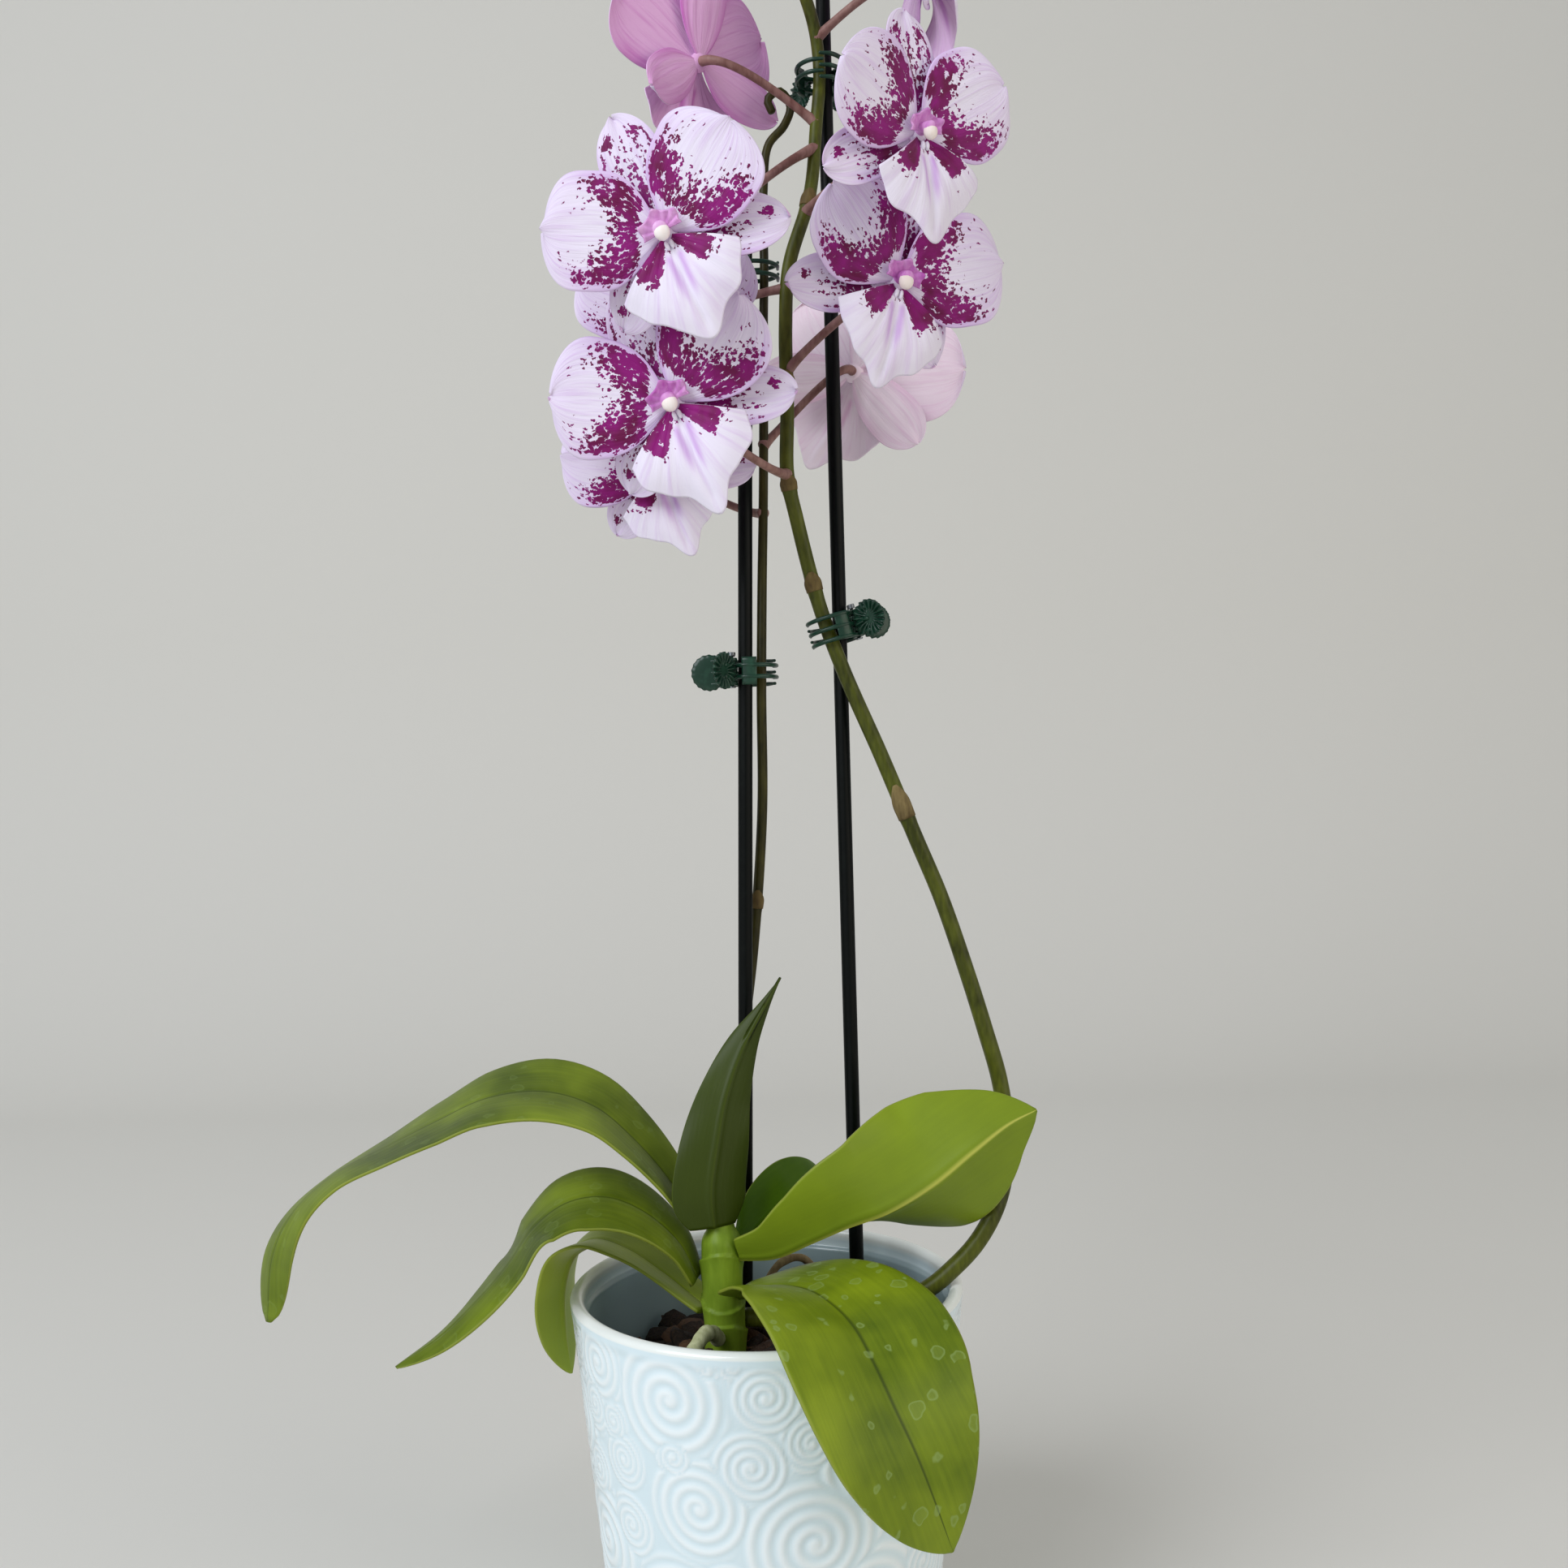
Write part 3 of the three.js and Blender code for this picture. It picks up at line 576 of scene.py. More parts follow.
@dataclass(frozen=True)
class PineBark(Finish):
    """Damp pine bark, broken into chips: dark, matt and fibrous, a few chips paler where they have dried."""

    damp: str = "20150e"
    dry: str = "6b4a33"

    def surface(self, nodes: Recipe) -> dict:
        """A tone for each chip, over fibres 1.2 mm apart that are drawn out to 4 mm.

        Args:
            nodes: Adds the nodes.

        Returns:
            The shader's inputs.
        """
        fibre = nodes.noise(nodes.scaled(nodes.place(), (820.0, 820.0, 260.0)), 1.0, 4.0)
        dried = nodes.ramp(nodes.math("MULTIPLY_ADD", fibre, 0.55, nodes.mark("tone")), 0.25, 1.2)
        return {
            "Base Color": nodes.blend(dried, self.damp, self.dry),
            "Roughness": 0.88,
            "IOR": 1.45,
            "Normal": nodes.bump(fibre, 0.9, 0.0012),
        }


@dataclass(frozen=True)
class LeafSkin(Finish):
    """A thick orchid leaf with a waxy cuticle: satin, mid green, faint parallel veins, a yellower edge and
    keel, and dried rings of hard water where drops have stood."""

    dark: str = "3e500a"
    light: str = "7d9020"
    under: str = "627320"
    margin: str = "8f9a3c"
    keel: str = "7f8f34"
    # Painted shade: the groove down the middle of the upper face is coloured darker, as the shade in it
    groove: str = "33430a"
    rings: float = 0.0
    lime: str = "93ab66"

    def dried_drops(self, nodes: Recipe, place: Socket, front: Socket) -> Socket:
        """Where hard water has dried, from 0 to 1.

        Args:
            nodes: Adds the nodes.
            place: The place on the leaf.
            front: 1 on the upper face, where drops stand.

        Returns:
            In 58 of 100 cells, about 7 mm wide and bent by a finer noise, a ring at the cell's own radius,
            with a quarter of its strength inside it, all times the finish's rings.
        """
        uneven = nodes.bent(place, nodes.noise(place, 1 / 0.004, 1.0, "Color"), (0.003, 0.003, 0.003))
        distance, chance, width = nodes.cells(uneven, 1 / 0.007)
        past = nodes.math("SUBTRACT", distance, nodes.ramp(width, first=0.12, last=0.42))
        within, outside = nodes.ramp(past, -0.09, 0.0, 0.25, 1.0), nodes.ramp(past, 0.0, 0.05, 1.0, 0.0)
        amount = nodes.math("MULTIPLY", within, outside)
        for share in (nodes.math("GREATER_THAN", chance, 0.42), front, self.rings):
            amount = nodes.math("MULTIPLY", amount, share)
        return amount

    def surface(self, nodes: Recipe) -> dict:
        """Slow patches 35 mm across, fine veins along the leaf, and the edge, keel and groove by place, the
        groove painted darker as shade.

        Args:
            nodes: Adds the nodes.

        Returns:
            The shader's inputs.
        """
        place, front, across = nodes.place(), nodes.mark("front"), nodes.mark("across")
        patches = nodes.noise(place, 1 / 0.035, 3.0)
        veins = nodes.noise(nodes.scaled(nodes.mark("leaf", "Vector"), (0.03, 0.7, 1.0)), 1.0, 2.0)
        share = nodes.ramp(nodes.math("MULTIPLY_ADD", veins, 0.16, patches), 0.36, 0.78)
        upper, lower = nodes.blend(share, self.dark, self.light), nodes.blend(share, self.under, self.light)
        middle = nodes.ramp(across, 0.0, 0.04, 0.8, 0.0, soft=True)
        rim = nodes.ramp(across, 0.975, 1.0, 0.0, 0.7, soft=True)
        # The middle line: the keel's paler tone underneath, and on top painted shade in the groove
        line = nodes.blend(front, self.keel, self.groove)
        ribbed = nodes.blend(middle, nodes.blend(front, lower, upper), line)
        edged = nodes.blend(rim, ribbed, self.margin)
        return {
            "Base Color": nodes.blend(self.dried_drops(nodes, place, front), edged, self.lime),
            "Roughness": nodes.ramp(patches, first=0.34, last=0.5),
            "IOR": 1.3,
            "Normal": nodes.bump(veins, 0.14, 0.0005),
        }


@dataclass(frozen=True)
class PlantSkin(Finish):
    """A living stem, sheath, root, bud or dry scale: a soft cuticle in two tones, flecked as it grew."""

    dark: str
    light: str
    fleck_mm: float
    roughness: float
    relief: float

    def surface(self, nodes: Recipe) -> dict:
        """Two tones mixed by flecks that are four times longer up the stem than across it, and slow patches.

        Args:
            nodes: Adds the nodes.

        Returns:
            The shader's inputs.
        """
        place, scale = nodes.place(), 1000 / self.fleck_mm
        fleck = nodes.noise(nodes.scaled(place, (scale, scale, scale / 4)), 1.0, 3.0)
        patches = nodes.noise(place, 1 / 0.02, 2.0)
        share = nodes.ramp(nodes.math("MULTIPLY_ADD", fleck, 0.7, patches), 0.6, 1.1)
        return {
            "Base Color": nodes.blend(share, self.dark, self.light),
            "Roughness": self.roughness,
            "IOR": 1.3,
            "Normal": nodes.bump(fleck, 0.6, self.relief),
        }


@dataclass(frozen=True)
class MouldedPlastic(Finish):
    """Polypropylene, moulded or drawn over steel: even, semi-gloss, with faint scuffs that dull it."""

    tone: str
    scuffed: str
    roughness: float
    index: float = 1.45

    def surface(self, nodes: Recipe) -> dict:
        """The plastic's colour, paler in scuffs about 3 mm long, and a 0.6 mm orange peel on the surface.

        Args:
            nodes: Adds the nodes.

        Returns:
            The shader's inputs.
        """
        place = nodes.place()
        scuff = nodes.noise(place, 1 / 0.003, 5.0)
        return {
            "Base Color": nodes.blend(nodes.ramp(scuff, 0.52, 0.8, last=0.5), self.tone, self.scuffed),
            "Roughness": nodes.ramp(scuff, first=self.roughness - 0.08, last=self.roughness + 0.12),
            "IOR": self.index,
            "Normal": nodes.bump(nodes.noise(place, 1 / 0.0006, 1.0), 0.15, 0.0001),
        }


@dataclass(frozen=True)
class SpringWire(Finish):
    """Drawn carbon-steel spring wire: bright grey metal with fine draw marks along it."""

    tone: str = "8e9296"

    def surface(self, nodes: Recipe) -> dict:
        """Bright metal, its roughness varied by draw marks 0.4 mm apart."""
        dulled = nodes.ramp(nodes.noise(nodes.place(), 1 / 0.0004, 2.0), first=0.2, last=0.42)
        return {"Base Color": linear(self.tone), "Metallic": 1.0, "Roughness": dulled}


@dataclass(frozen=True)
class PetalTissue(Finish):
    """Fresh petal tissue: matt, white to lilac with fine lilac veins, and magenta-purple flecks about 1.2 mm
    across that run together where the pattern is dense. The back is plain pink."""

    white: str = "eee9f6"
    lilac: str = "d0a6e2"
    magenta: str = "8c0f74"
    maroon: str = "680644"
    back: str = "e0bfe0"
    back_vein: str = "bf84c4"
    fleck_mm: float = 1.3

    def flecks(self, nodes: Recipe, vein: Socket) -> Socket:
        """Where the surface is inked, from 0 to 1.

        Args:
            nodes: Adds the nodes.
            vein: The place across and along the veins, in millimetres.

        Returns:
            1 inside each cell's dot. A cell has one where its own random number is below 1.25 times the
            marking, and its radius is 0.2 plus half the marking, in cells. The cells are bent by a noise.
        """
        marking = nodes.mark("marking")
        across, along = 1 / self.fleck_mm, 0.75 / self.fleck_mm
        drawn, unevenness = nodes.scaled(vein, (across, along, across)), nodes.noise(vein, 0.9, 1.0, "Color")
        distance, own, _ = nodes.cells(nodes.bent(drawn, unevenness, (1.5, 1.5, 0.0)), 1.0)
        there = nodes.ramp(nodes.math("SUBTRACT", nodes.math("MULTIPLY", marking, 1.25), own), 0.0, 0.12)
        reach = nodes.math("MULTIPLY", nodes.math("MULTIPLY_ADD", marking, 0.5, 0.2), there)
        return nodes.ramp(nodes.math("SUBTRACT", reach, distance), -0.02, 0.08, soft=True)

    def surface(self, nodes: Recipe) -> dict:
        """White to lilac by blush and veins 1 mm apart, with the flecks over the front, maroon to magenta.

        Args:
            nodes: Adds the nodes.

        Returns:
            The shader's inputs.
        """
        vein, front = nodes.mark("vein", "Vector"), nodes.mark("front")
        veins = nodes.noise(nodes.scaled(vein, (0.95, 0.05, 1.0)), 1.0, 3.0)
        lines = nodes.ramp(veins, 0.48, 0.75)
        tint = nodes.math("MULTIPLY_ADD", lines, 0.35, nodes.mark("blush"), use_clamp=True)
        ground = nodes.blend(tint, self.white, self.lilac)
        rear = nodes.blend(tint, self.back, self.back_vein)
        ink = nodes.blend(nodes.ramp(nodes.noise(vein, 0.12, 2.0), 0.35, 0.65), self.maroon, self.magenta)
        facing = nodes.math("MULTIPLY", self.flecks(nodes, vein), front)
        return {
            "Base Color": nodes.blend(facing, nodes.blend(front, rear, ground), ink),
            "Roughness": 0.55,
            "IOR": 1.3,
            "Sheen Weight": 0.06,
            "Normal": nodes.bump(veins, 0.5, 0.0006),
        }


@dataclass(frozen=True)
class PaintedBoard(Finish):
    """Matt painted board: even and pale, with a roller's faint stipple."""

    tone: str = "dcdad4"

    def surface(self, nodes: Recipe) -> dict:
        """A pale matt paint with a stipple 4 mm across."""
        stipple = nodes.bump(nodes.noise(nodes.place(), 1 / 0.004, 2.0), 0.08, 0.0003)
        return {"Base Color": linear(self.tone), "Roughness": 0.8, "Normal": stipple}


class Skins:
    """The finishes of this plant, each named for what it is."""

    CERAMIC = GlazedCeramic("glazed_stoneware")
    BARK = PineBark("pine_bark")
    SHEATH = PlantSkin("leaf_sheath", "5f7a18", "86a02e", 3.0, 0.42, 0.0003)
    ROOT = PlantSkin("root_velamen", "9a9e70", "d2d3aa", 1.6, 0.8, 0.0005)
    DRY_ROOT = PlantSkin("dry_root", "7d6a4c", "b39d78", 1.6, 0.8, 0.0004)
    SPIKE = PlantSkin("spike_skin", "32360a", "5a601a", 1.6, 0.4, 0.0002)
    # Painted shade: the thin spike's skin is painted near black as shade
    THIN_SPIKE = PlantSkin("thin_spike_skin", "201e05", "3f3b12", 1.6, 0.42, 0.0002)
    PEDICEL = PlantSkin("pedicel_skin", "6b4640", "a07d74", 1.8, 0.45, 0.0002)
    BRACT = PlantSkin("papery_bract", "544529", "85744c", 1.2, 0.75, 0.0004)
    SCALE = PlantSkin("node_scale", "4d3c22", "77663a", 1.2, 0.6, 0.0003)
    BUD = PlantSkin("bud_skin", "8d9a58", "c9a8c4", 3.0, 0.5, 0.0002)
    STAKE = MouldedPlastic("coated_stake", "020504", "0a120e", 0.4, 1.22)
    CLIP = MouldedPlastic("clip_plastic", "0f3425", "2a5842", 0.3)
    WIRE = SpringWire("spring_wire")
    COLUMN = PlantSkin("column_crest", "c262bd", "efbdec", 2.0, 0.45, 0.0001)
    CAP = PlantSkin("anther_cap", "f3e2d8", "fdf6f4", 2.0, 0.35, 0.0001)


# Pot and what fills it


@dataclass
class Pot:
    """The glazed pot: a tapered wall with raised spirals, a rounded lip and a step inside the mouth."""

    height: float = 130.0
    rim_radius: float = 70.0
    foot_radius: float = 57.0
    base_radius: float = 54.0
    band: float = 125.0
    wall: float = 5.0
    floor: float = 6.0
    columns: int = 480
    rows: int = 142
    ridge: float = 0.52
    tries: int = 260
    spacing: float = 0.93
    # Spirals that show: angle from the front (degrees), height, radius, sense and start of the turn
    spirals: list = field(
        default_factory=lambda: [
            (-55.7, 117.0, 10.8, 1, 0.1), (-27.2, 112.0, 15.0, 1, 0.3), (0.0, 115.5, 9.1, 1, 0.8),
            (-4.4, 92.1, 9.7, 1, 0.2), (-20.5, 77.0, 12.9, 1, 0.5), (13.4, 65.7, 17.8, 1, 0.75),
            (-46.8, 87.1, 7.4, 1, 0.0), (-64.2, 78.0, 8.0, -1, 0.4), (-46.6, 64.7, 8.2, 1, 0.6),
            (55.9, 45.3, 10.5, 1, 0.2), (12.5, 99.5, 8.0, -1, 0.3), (-8.7, 125.5, 3.4, 1, 0.0),
            (-15.0, 124.6, 3.0, -1, 0.5),
        ]
    )  # fmt: skip

    def radius(self, z: Array | float) -> Array | float:
        """The outer wall's radius: straight from the foot to the band, then eased out to the rim."""
        wall = mix(self.foot_radius, self.rim_radius - 0.8, z / self.band)
        return wall + (self.rim_radius - wall) * smooth(self.band - 2, self.band + 2, np.asarray(z, float))

    def packed_spirals(self) -> list:
        """The spirals that show and others that fill the wall, largest first.

        Returns:
            Angle in radians, height, radius, sense and start for each. An added one keeps at least the
            spacing times the sum of the two radii from every other.
        """
        random = np.random.default_rng(11)
        kept = [(math.radians(a), z, r, s, t) for a, z, r, s, t in self.spirals]
        for size in np.concatenate([np.linspace(17, 8, 40), np.linspace(8, 5, 30)]):
            angle = random.uniform(-np.pi, np.pi, self.tries)
            z = random.uniform(size + 1, 126.5 - size * 0.9, self.tries)
            gap = np.full(self.tries, np.inf)
            for known, high, radius, *_ in kept:
                turn = (angle - known + np.pi) % (2 * np.pi) - np.pi
                away = np.hypot(turn * self.radius(high), z - high)
                gap = np.minimum(gap, away - self.spacing * (radius + size))
            free = np.flatnonzero(gap > 0)
            if len(free):
                best = free[np.argmin(gap[free])]
                kept.append((angle[best], z[best], size, random.choice([-1, 1]), random.uniform()))
        return kept

    def relief(self, angle: Array, z: Array) -> Array:
        """The raised spirals' height from 0 to 1.

        Args:
            angle: Angles from the front, in radians.
            z: Heights.

        Returns:
            (0.5 + 0.5 cos(2 pi (distance / pitch - sense * turn / 2 pi - start))) ** 1.1 of the spiral that
            is nearest for its radius, full at its middle, sunk between neighbours, and faded outside it and
            at the lip and the foot.
        """
        nearest, second = np.full(z.shape, 9.0), np.full(z.shape, 9.0)
        height = np.zeros(z.shape)
        for at, high, radius, sense, start in self.packed_spirals():
            across = ((angle - at + np.pi) % (2 * np.pi) - np.pi) * self.radius(high)
            up = z - high
            away = np.hypot(across, up)
            share = away / radius
            pitch = min(max(radius / 3.0, 2.3), 5.0)
            phase = away / pitch - sense * np.arctan2(up, across) / (2 * np.pi) - start
            wave = (0.5 + 0.5 * np.cos(2 * np.pi * phase)) ** 1.1
            wave = mix(wave, 1.0, 1 - smooth(0.15 * pitch, 0.5 * pitch, away))
            wave *= 1 - smooth(1.25, 1.5, share)
            closer = share < nearest
            second = np.where(closer, nearest, np.minimum(second, share))
            nearest = np.where(closer, share, nearest)
            height = np.where(closer, wave, height)
        between = smooth(0.0, 0.14, second - nearest)
        return height * between * smooth(1.5, 5.0, z) * (1 - smooth(123.5, 127.0, z))

    def build(self) -> None:
        """The pot as one turned surface, its wall moved out by ridge * (relief - 0.45) above the foot."""
        bead = self.wall / 2
        top = self.height - bead
        outer = np.linspace(2.5, top, self.rows)
        lip = np.radians(np.linspace(0, 180, 12))[1:-1]
        within = self.rim_radius - self.wall
        edge = [(self.base_radius * s, 0.0) for s in (0.5, 0.8, 0.93, 1)] + [(self.foot_radius - 1, 0.8)]
        inner = [
            (within, top), (within, 125.5), (within, 123.8), (within - 0.35, 123.0), (within - 1.2, 122.5),
            (within - 1.5, 121.5), (within - 1.9, 115.0), (self.radius(100) - self.wall, 100),
            (self.radius(60) - self.wall, 60), (self.radius(12) - self.wall, 12),
            (self.radius(8) - self.wall - 1.5, 7.6), (self.radius(6) - self.wall - 5, 6), (20, 6),
        ]  # fmt: skip
        wall = np.stack([self.radius(outer), outer], 1)
        rolled = np.stack([within + bead + bead * np.cos(lip), top + bead * np.sin(lip)], 1)
        profile = np.concatenate([edge, wall, rolled, inner])
        rings = lathe(profile, self.columns)
        first, last = len(edge), len(edge) + self.rows
        angle = np.arctan2(rings[first:last, :, 0], -rings[first:last, :, 1])
        relief = self.relief(angle, rings[first:last, :, 2])
        stretch = 1 + self.ridge * (relief - 0.45) * smooth(2.5, 6, outer)[:, None] / profile[first:last, :1]
        rings[first:last, :, :2] *= stretch[..., None]
        marks = {key: np.zeros(rings.shape[:2]) for key in ("relief", "inside", "lip")}
        marks["relief"][first:last] = relief
        marks["relief"][last : last + len(lip)] = 0.75
        # The inner wall, which the glaze colours darker as painted shade
        marks["inside"][last + len(lip) + 3 :] = 1.0
        marks["lip"][last : last + len(lip) + 1] = 0.8
        body = shell(rings, np.array([0, 0, 0.0]), np.array([0, 0, self.floor]), **marks)
        add_piece("pot_glazed", body, [Skins.CERAMIC], "pot")


@dataclass
class Bark:
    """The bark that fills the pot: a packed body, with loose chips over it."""

    top: float = 108.5
    drop: float = 16.0
    reach: float = 70.0
    radius: float = 60.5
    chips: int = 230
    smallest: tuple = (3.5, 2.2, 1.1)
    largest: tuple = (8.5, 5.0, 2.6)
    crown: tuple = (-15.0, -8.0)
    clear: float = 10.0

    def height(self, away: Array) -> Array:
        """The mound's height at this distance from the middle: top - drop (away / reach) ** 2."""
        return self.top - self.drop * (away / self.reach) ** 2

    def packed(self, pot: Pot) -> Shape:
        """The body inside the pot: rings that follow the wall, then a top of low mounds.

        Args:
            pot: The pot that it fills.

        Returns:
            A closed shape, its top lifted by 1.2 sin(x / 7) cos(y / 9).
        """
        up = np.array([6.4, 11, 60, 90])
        side = np.stack([pot.radius(up) - 6.6 - np.array([5.5, 0, 0, 0]), up], 1)
        away = np.linspace(59.5, 4, 16)
        top = np.stack([away, self.height(away)], 1)
        rings = lathe(np.concatenate([side, top]), 72)
        mound = rings[len(up) :]
        mound[..., 2] += 1.2 * np.sin(mound[..., 0] / 7) * np.cos(mound[..., 1] / 9)
        tone = np.full(rings.shape[:2], 0.05)
        return shell(rings, np.array([0, 0, up[0]]), np.array([0, 0, self.top]), tone=tone)

    def loose(self) -> Shape:
        """All the chips at once: one rounded block, sized, roughened, turned and scattered.

        Returns:
            The chips in one shape, with a tone for each.
        """
        random = np.random.default_rng(5)
        n = self.chips
        lattice = np.stack(np.meshgrid(*[[-1, 0, 1]] * 3, indexing="ij"), -1).reshape(-1, 3)
        keep = np.abs(lattice).max(1) == 1
        number = np.cumsum(keep) - 1
        block = lattice[keep] / (1 + 0.22 * (np.abs(lattice[keep]).sum(1, keepdims=True) - 1) ** 0.8)
        corner_count = len(block)
        quads = []
        for axis in range(3):
            for side in (-1, 1):
                corners = number[np.flatnonzero(lattice[:, axis] == side)[grid_quads(3, 3)]]
                a, b, c = (block[corners[:, k]] for k in range(3))
                out = (np.cross(b - a, c - b)[:, axis] * side) > 0
                quads.append(np.where(out[:, None], corners, corners[:, ::-1]))
        quads = np.concatenate(quads)
        size = random.uniform(self.smallest, self.largest, (n, 3))
        points = block[None] * size[:, None] + random.normal(0, 0.28, (n, corner_count, 3))
        turn, lean = random.uniform(0, 2 * np.pi, n), random.normal(0, 0.33, (n, 2))
        c, s, z, o = np.cos(turn), np.sin(turn), np.zeros(n), np.ones(n)
        flat = np.stack([c, -s, z, s, c, z, z, z, o], -1).reshape(n, 3, 3)
        p, q = lean[:, 0], lean[:, 1]
        tilt = np.stack([o, z, p, z, o, q, -p, -q, o], -1).reshape(n, 3, 3)
        angle, away = random.uniform(0, 2 * np.pi, n), (self.radius - 7) * np.sqrt(random.uniform(0.0, 1, n))
        high = self.height(away) + random.uniform(-0.6, 2.2, n)
        at = np.stack([away * np.cos(angle), away * np.sin(angle), high], -1)
        near = at[:, :2] - self.crown
        far = np.maximum(np.linalg.norm(near, axis=1, keepdims=True), 1e-3)
        at[:, :2] = self.crown + near * np.maximum(1, self.clear / far)
        spread = np.einsum("nij,nkj->nki", flat @ tilt, points) + at[:, None]
        faces = (quads[None] + corner_count * np.arange(n)[:, None, None]).reshape(-1, 4)
        tone = np.repeat(random.uniform(0, 1, n) ** 3 * 0.75, corner_count)
        return Shape(spread.reshape(-1, 3), faces, marks={"tone": tone})

    def build(self, pot: Pot) -> None:
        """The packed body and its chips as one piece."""
        whole = joined([self.packed(pot), self.loose()])
        add_piece("bark_chips", whole, [Skins.BARK], "bark_medium")


# Crown, roots and leaves


@dataclass
class Crown:
    """The short stem, wrapped by the sheaths of its leaves, which end in slanting lips."""

    foot: tuple = (-15.0, -8.0, 96.0)
    top: tuple = (-15.5, -8.0, 153.0)
    radius: float = 7.1
    sheaths: tuple = (0.34, 0.56, 0.78)
    slant: float = 0.07

    def build(self) -> None:
        """The stem as one sweep.

        Its radius is 7.1 in three faint lobes, swollen by 1 mm under each lip and drawn in to its tip. A lip
        stands at its share + slant sin(a + turn), a being the angle, and they slant left and right by turns.
        """
        s = np.linspace(0, 1, 120)[:, None]
        a = circle(40)[None]
        radius = np.full((s.size, a.size), self.radius)
        for k, lip in enumerate(self.sheaths):
            past = s - lip - self.slant * np.sin(a + 1.5 - 3.1 * k)
            radius += 1.0 * np.exp(-(np.maximum(-past, 0) / 0.07)) * (past <= 0)
        radius *= 1 + 0.03 * np.sin(3 * a + 9 * s)
        radius *= 1 - 0.34 * smooth(0.86, 1.0, s) ** 2
        line = mix(np.array(self.foot), np.array(self.top), s)
        add_piece("crown_sheathed", swept(line, radius, a.size, 0.7), [Skins.SHEATH], "crown_stem")


@dataclass
class Root:
    """One root that shows over the bark, a little lumpy along its line."""

    name: str
    radius: float
    skin: PlantSkin
    line: list

    def build(self) -> None:
        """The root, its radius times 1 + 0.06 sin(31 s) + 0.05 sin(57 s + 1) along its share s."""
        s = np.linspace(0, 1, 60)
        lumpy = self.radius * (1 + 0.06 * np.sin(s * 31) + 0.05 * np.sin(s * 57 + 1))
        skin = swept(Route(self.line).at(s), lumpy, 18)
        add_piece(f"{self.name}_skin", skin, [self.skin], self.name)


@dataclass
class Leaf:
    """One thick leaf on a smooth rib, its halves folded up a little from it."""

    name: str
    rib: list
    across: list
    half_width: float
    widest: float
    base: float
    fold: tuple
    taper: float = 0.75
    skin: LeafSkin = LeafSkin("leaf_skin")
    thickness: float = 2.2
    waves: float = 0.5

    def half(self, u: Array) -> Array:
        """Half the width at the shares u of the length.

        Args:
            u: Shares from 0 at the base to 1 at the tip.

        Returns:
            A sine rise from the base to the widest place, then a cosine that rounds the tip.
        """
        rise = mix(self.base, 1.0, np.sin(np.pi / 2 * np.minimum(u / self.widest, 1)))
        fall = np.cos(np.pi / 2 * np.clip((u - self.widest) / (1 - self.widest), 0, 1)) ** self.taper
        return self.half_width * np.where(u < self.widest, rise, fall)

    def build(self) -> None:
        """The leaf as a closed sheet.

        It lies over rib + side * v w cos(fold) + up * |v| w sin(fold), w being half its width. Its edges
        wave by half a millimetre, a groove runs down the middle of the upper face and a keel under it, and
        the blade thins towards its edges.
        """
        t = np.linspace(0, 1, 84)
        u = 0.002 + 0.9965 * (t + 0.03 * np.sin(2 * np.pi * t) / np.pi + 0.10 * np.sin(np.pi * t) ** 2 * t)
        u = 0.002 + 0.9965 * (u - u[0]) / (u[-1] - u[0])
        v = np.sin(np.linspace(-1, 1, 33) * np.pi / 2) * 0.5 + np.linspace(-1, 1, 33) * 0.5
        route = Route(self.rib)
        along = route.way(u)
        side = Route(self.across).by_parameter(u)
        side = unit(side - along * (side * along).sum(1, keepdims=True))
        up = np.cross(side, along)
        rib = route.at(u)[:, None]
        u, width = u[:, None], self.half(u)[:, None]
        fold = np.radians(mix(self.fold[0], self.fold[1], u))
        wave = self.waves * np.sin(u * 17 + v * 2) * np.abs(v) ** 3 * np.sin(np.pi * u)
        groove = 0.5 * bell(v, 0, 0.045) * (1 - smooth(0.85, 1, u))
        lift = np.abs(v) * width * np.sin(fold) + wave - groove
        points = rib + side[:, None] * (v * width * np.cos(fold))[..., None] + up[:, None] * lift[..., None]
        keel = 0.7 * bell(v, 0, 0.07) * (1 - smooth(0.7, 1, u))
        thick = self.thickness * (1 - 0.55 * np.abs(v) ** 4) * (1 - 0.45 * smooth(0.8, 1, u)) + keel
        grown = np.stack([u * 150 + 0 * v, v * width, 0 * v * width], -1)
        body = sheet(points, thick, leaf=grown, across=np.abs(v) + 0 * width)
        add_piece(f"{self.name}_blade", body, [self.skin], self.name)


def roots() -> list[Root]:
    """The two roots that show, with the lines of the model.

    Returns:
        The living root in front and the dry loop behind.
    """
    front = [[-17, -17.6, 116], [-19, -22, 120], [-22, -28, 120.5], [-26, -35, 114], [-28, -39, 96]]
    loop = [[-1, 28, 98], [-1, 28, 118], [5, 29, 127], [13, 31, 128], [20, 33, 118], [21, 33, 98]]
    return [Root("root_front", 2.6, Skins.ROOT, front), Root("root_loop", 1.5, Skins.DRY_ROOT, loop)]


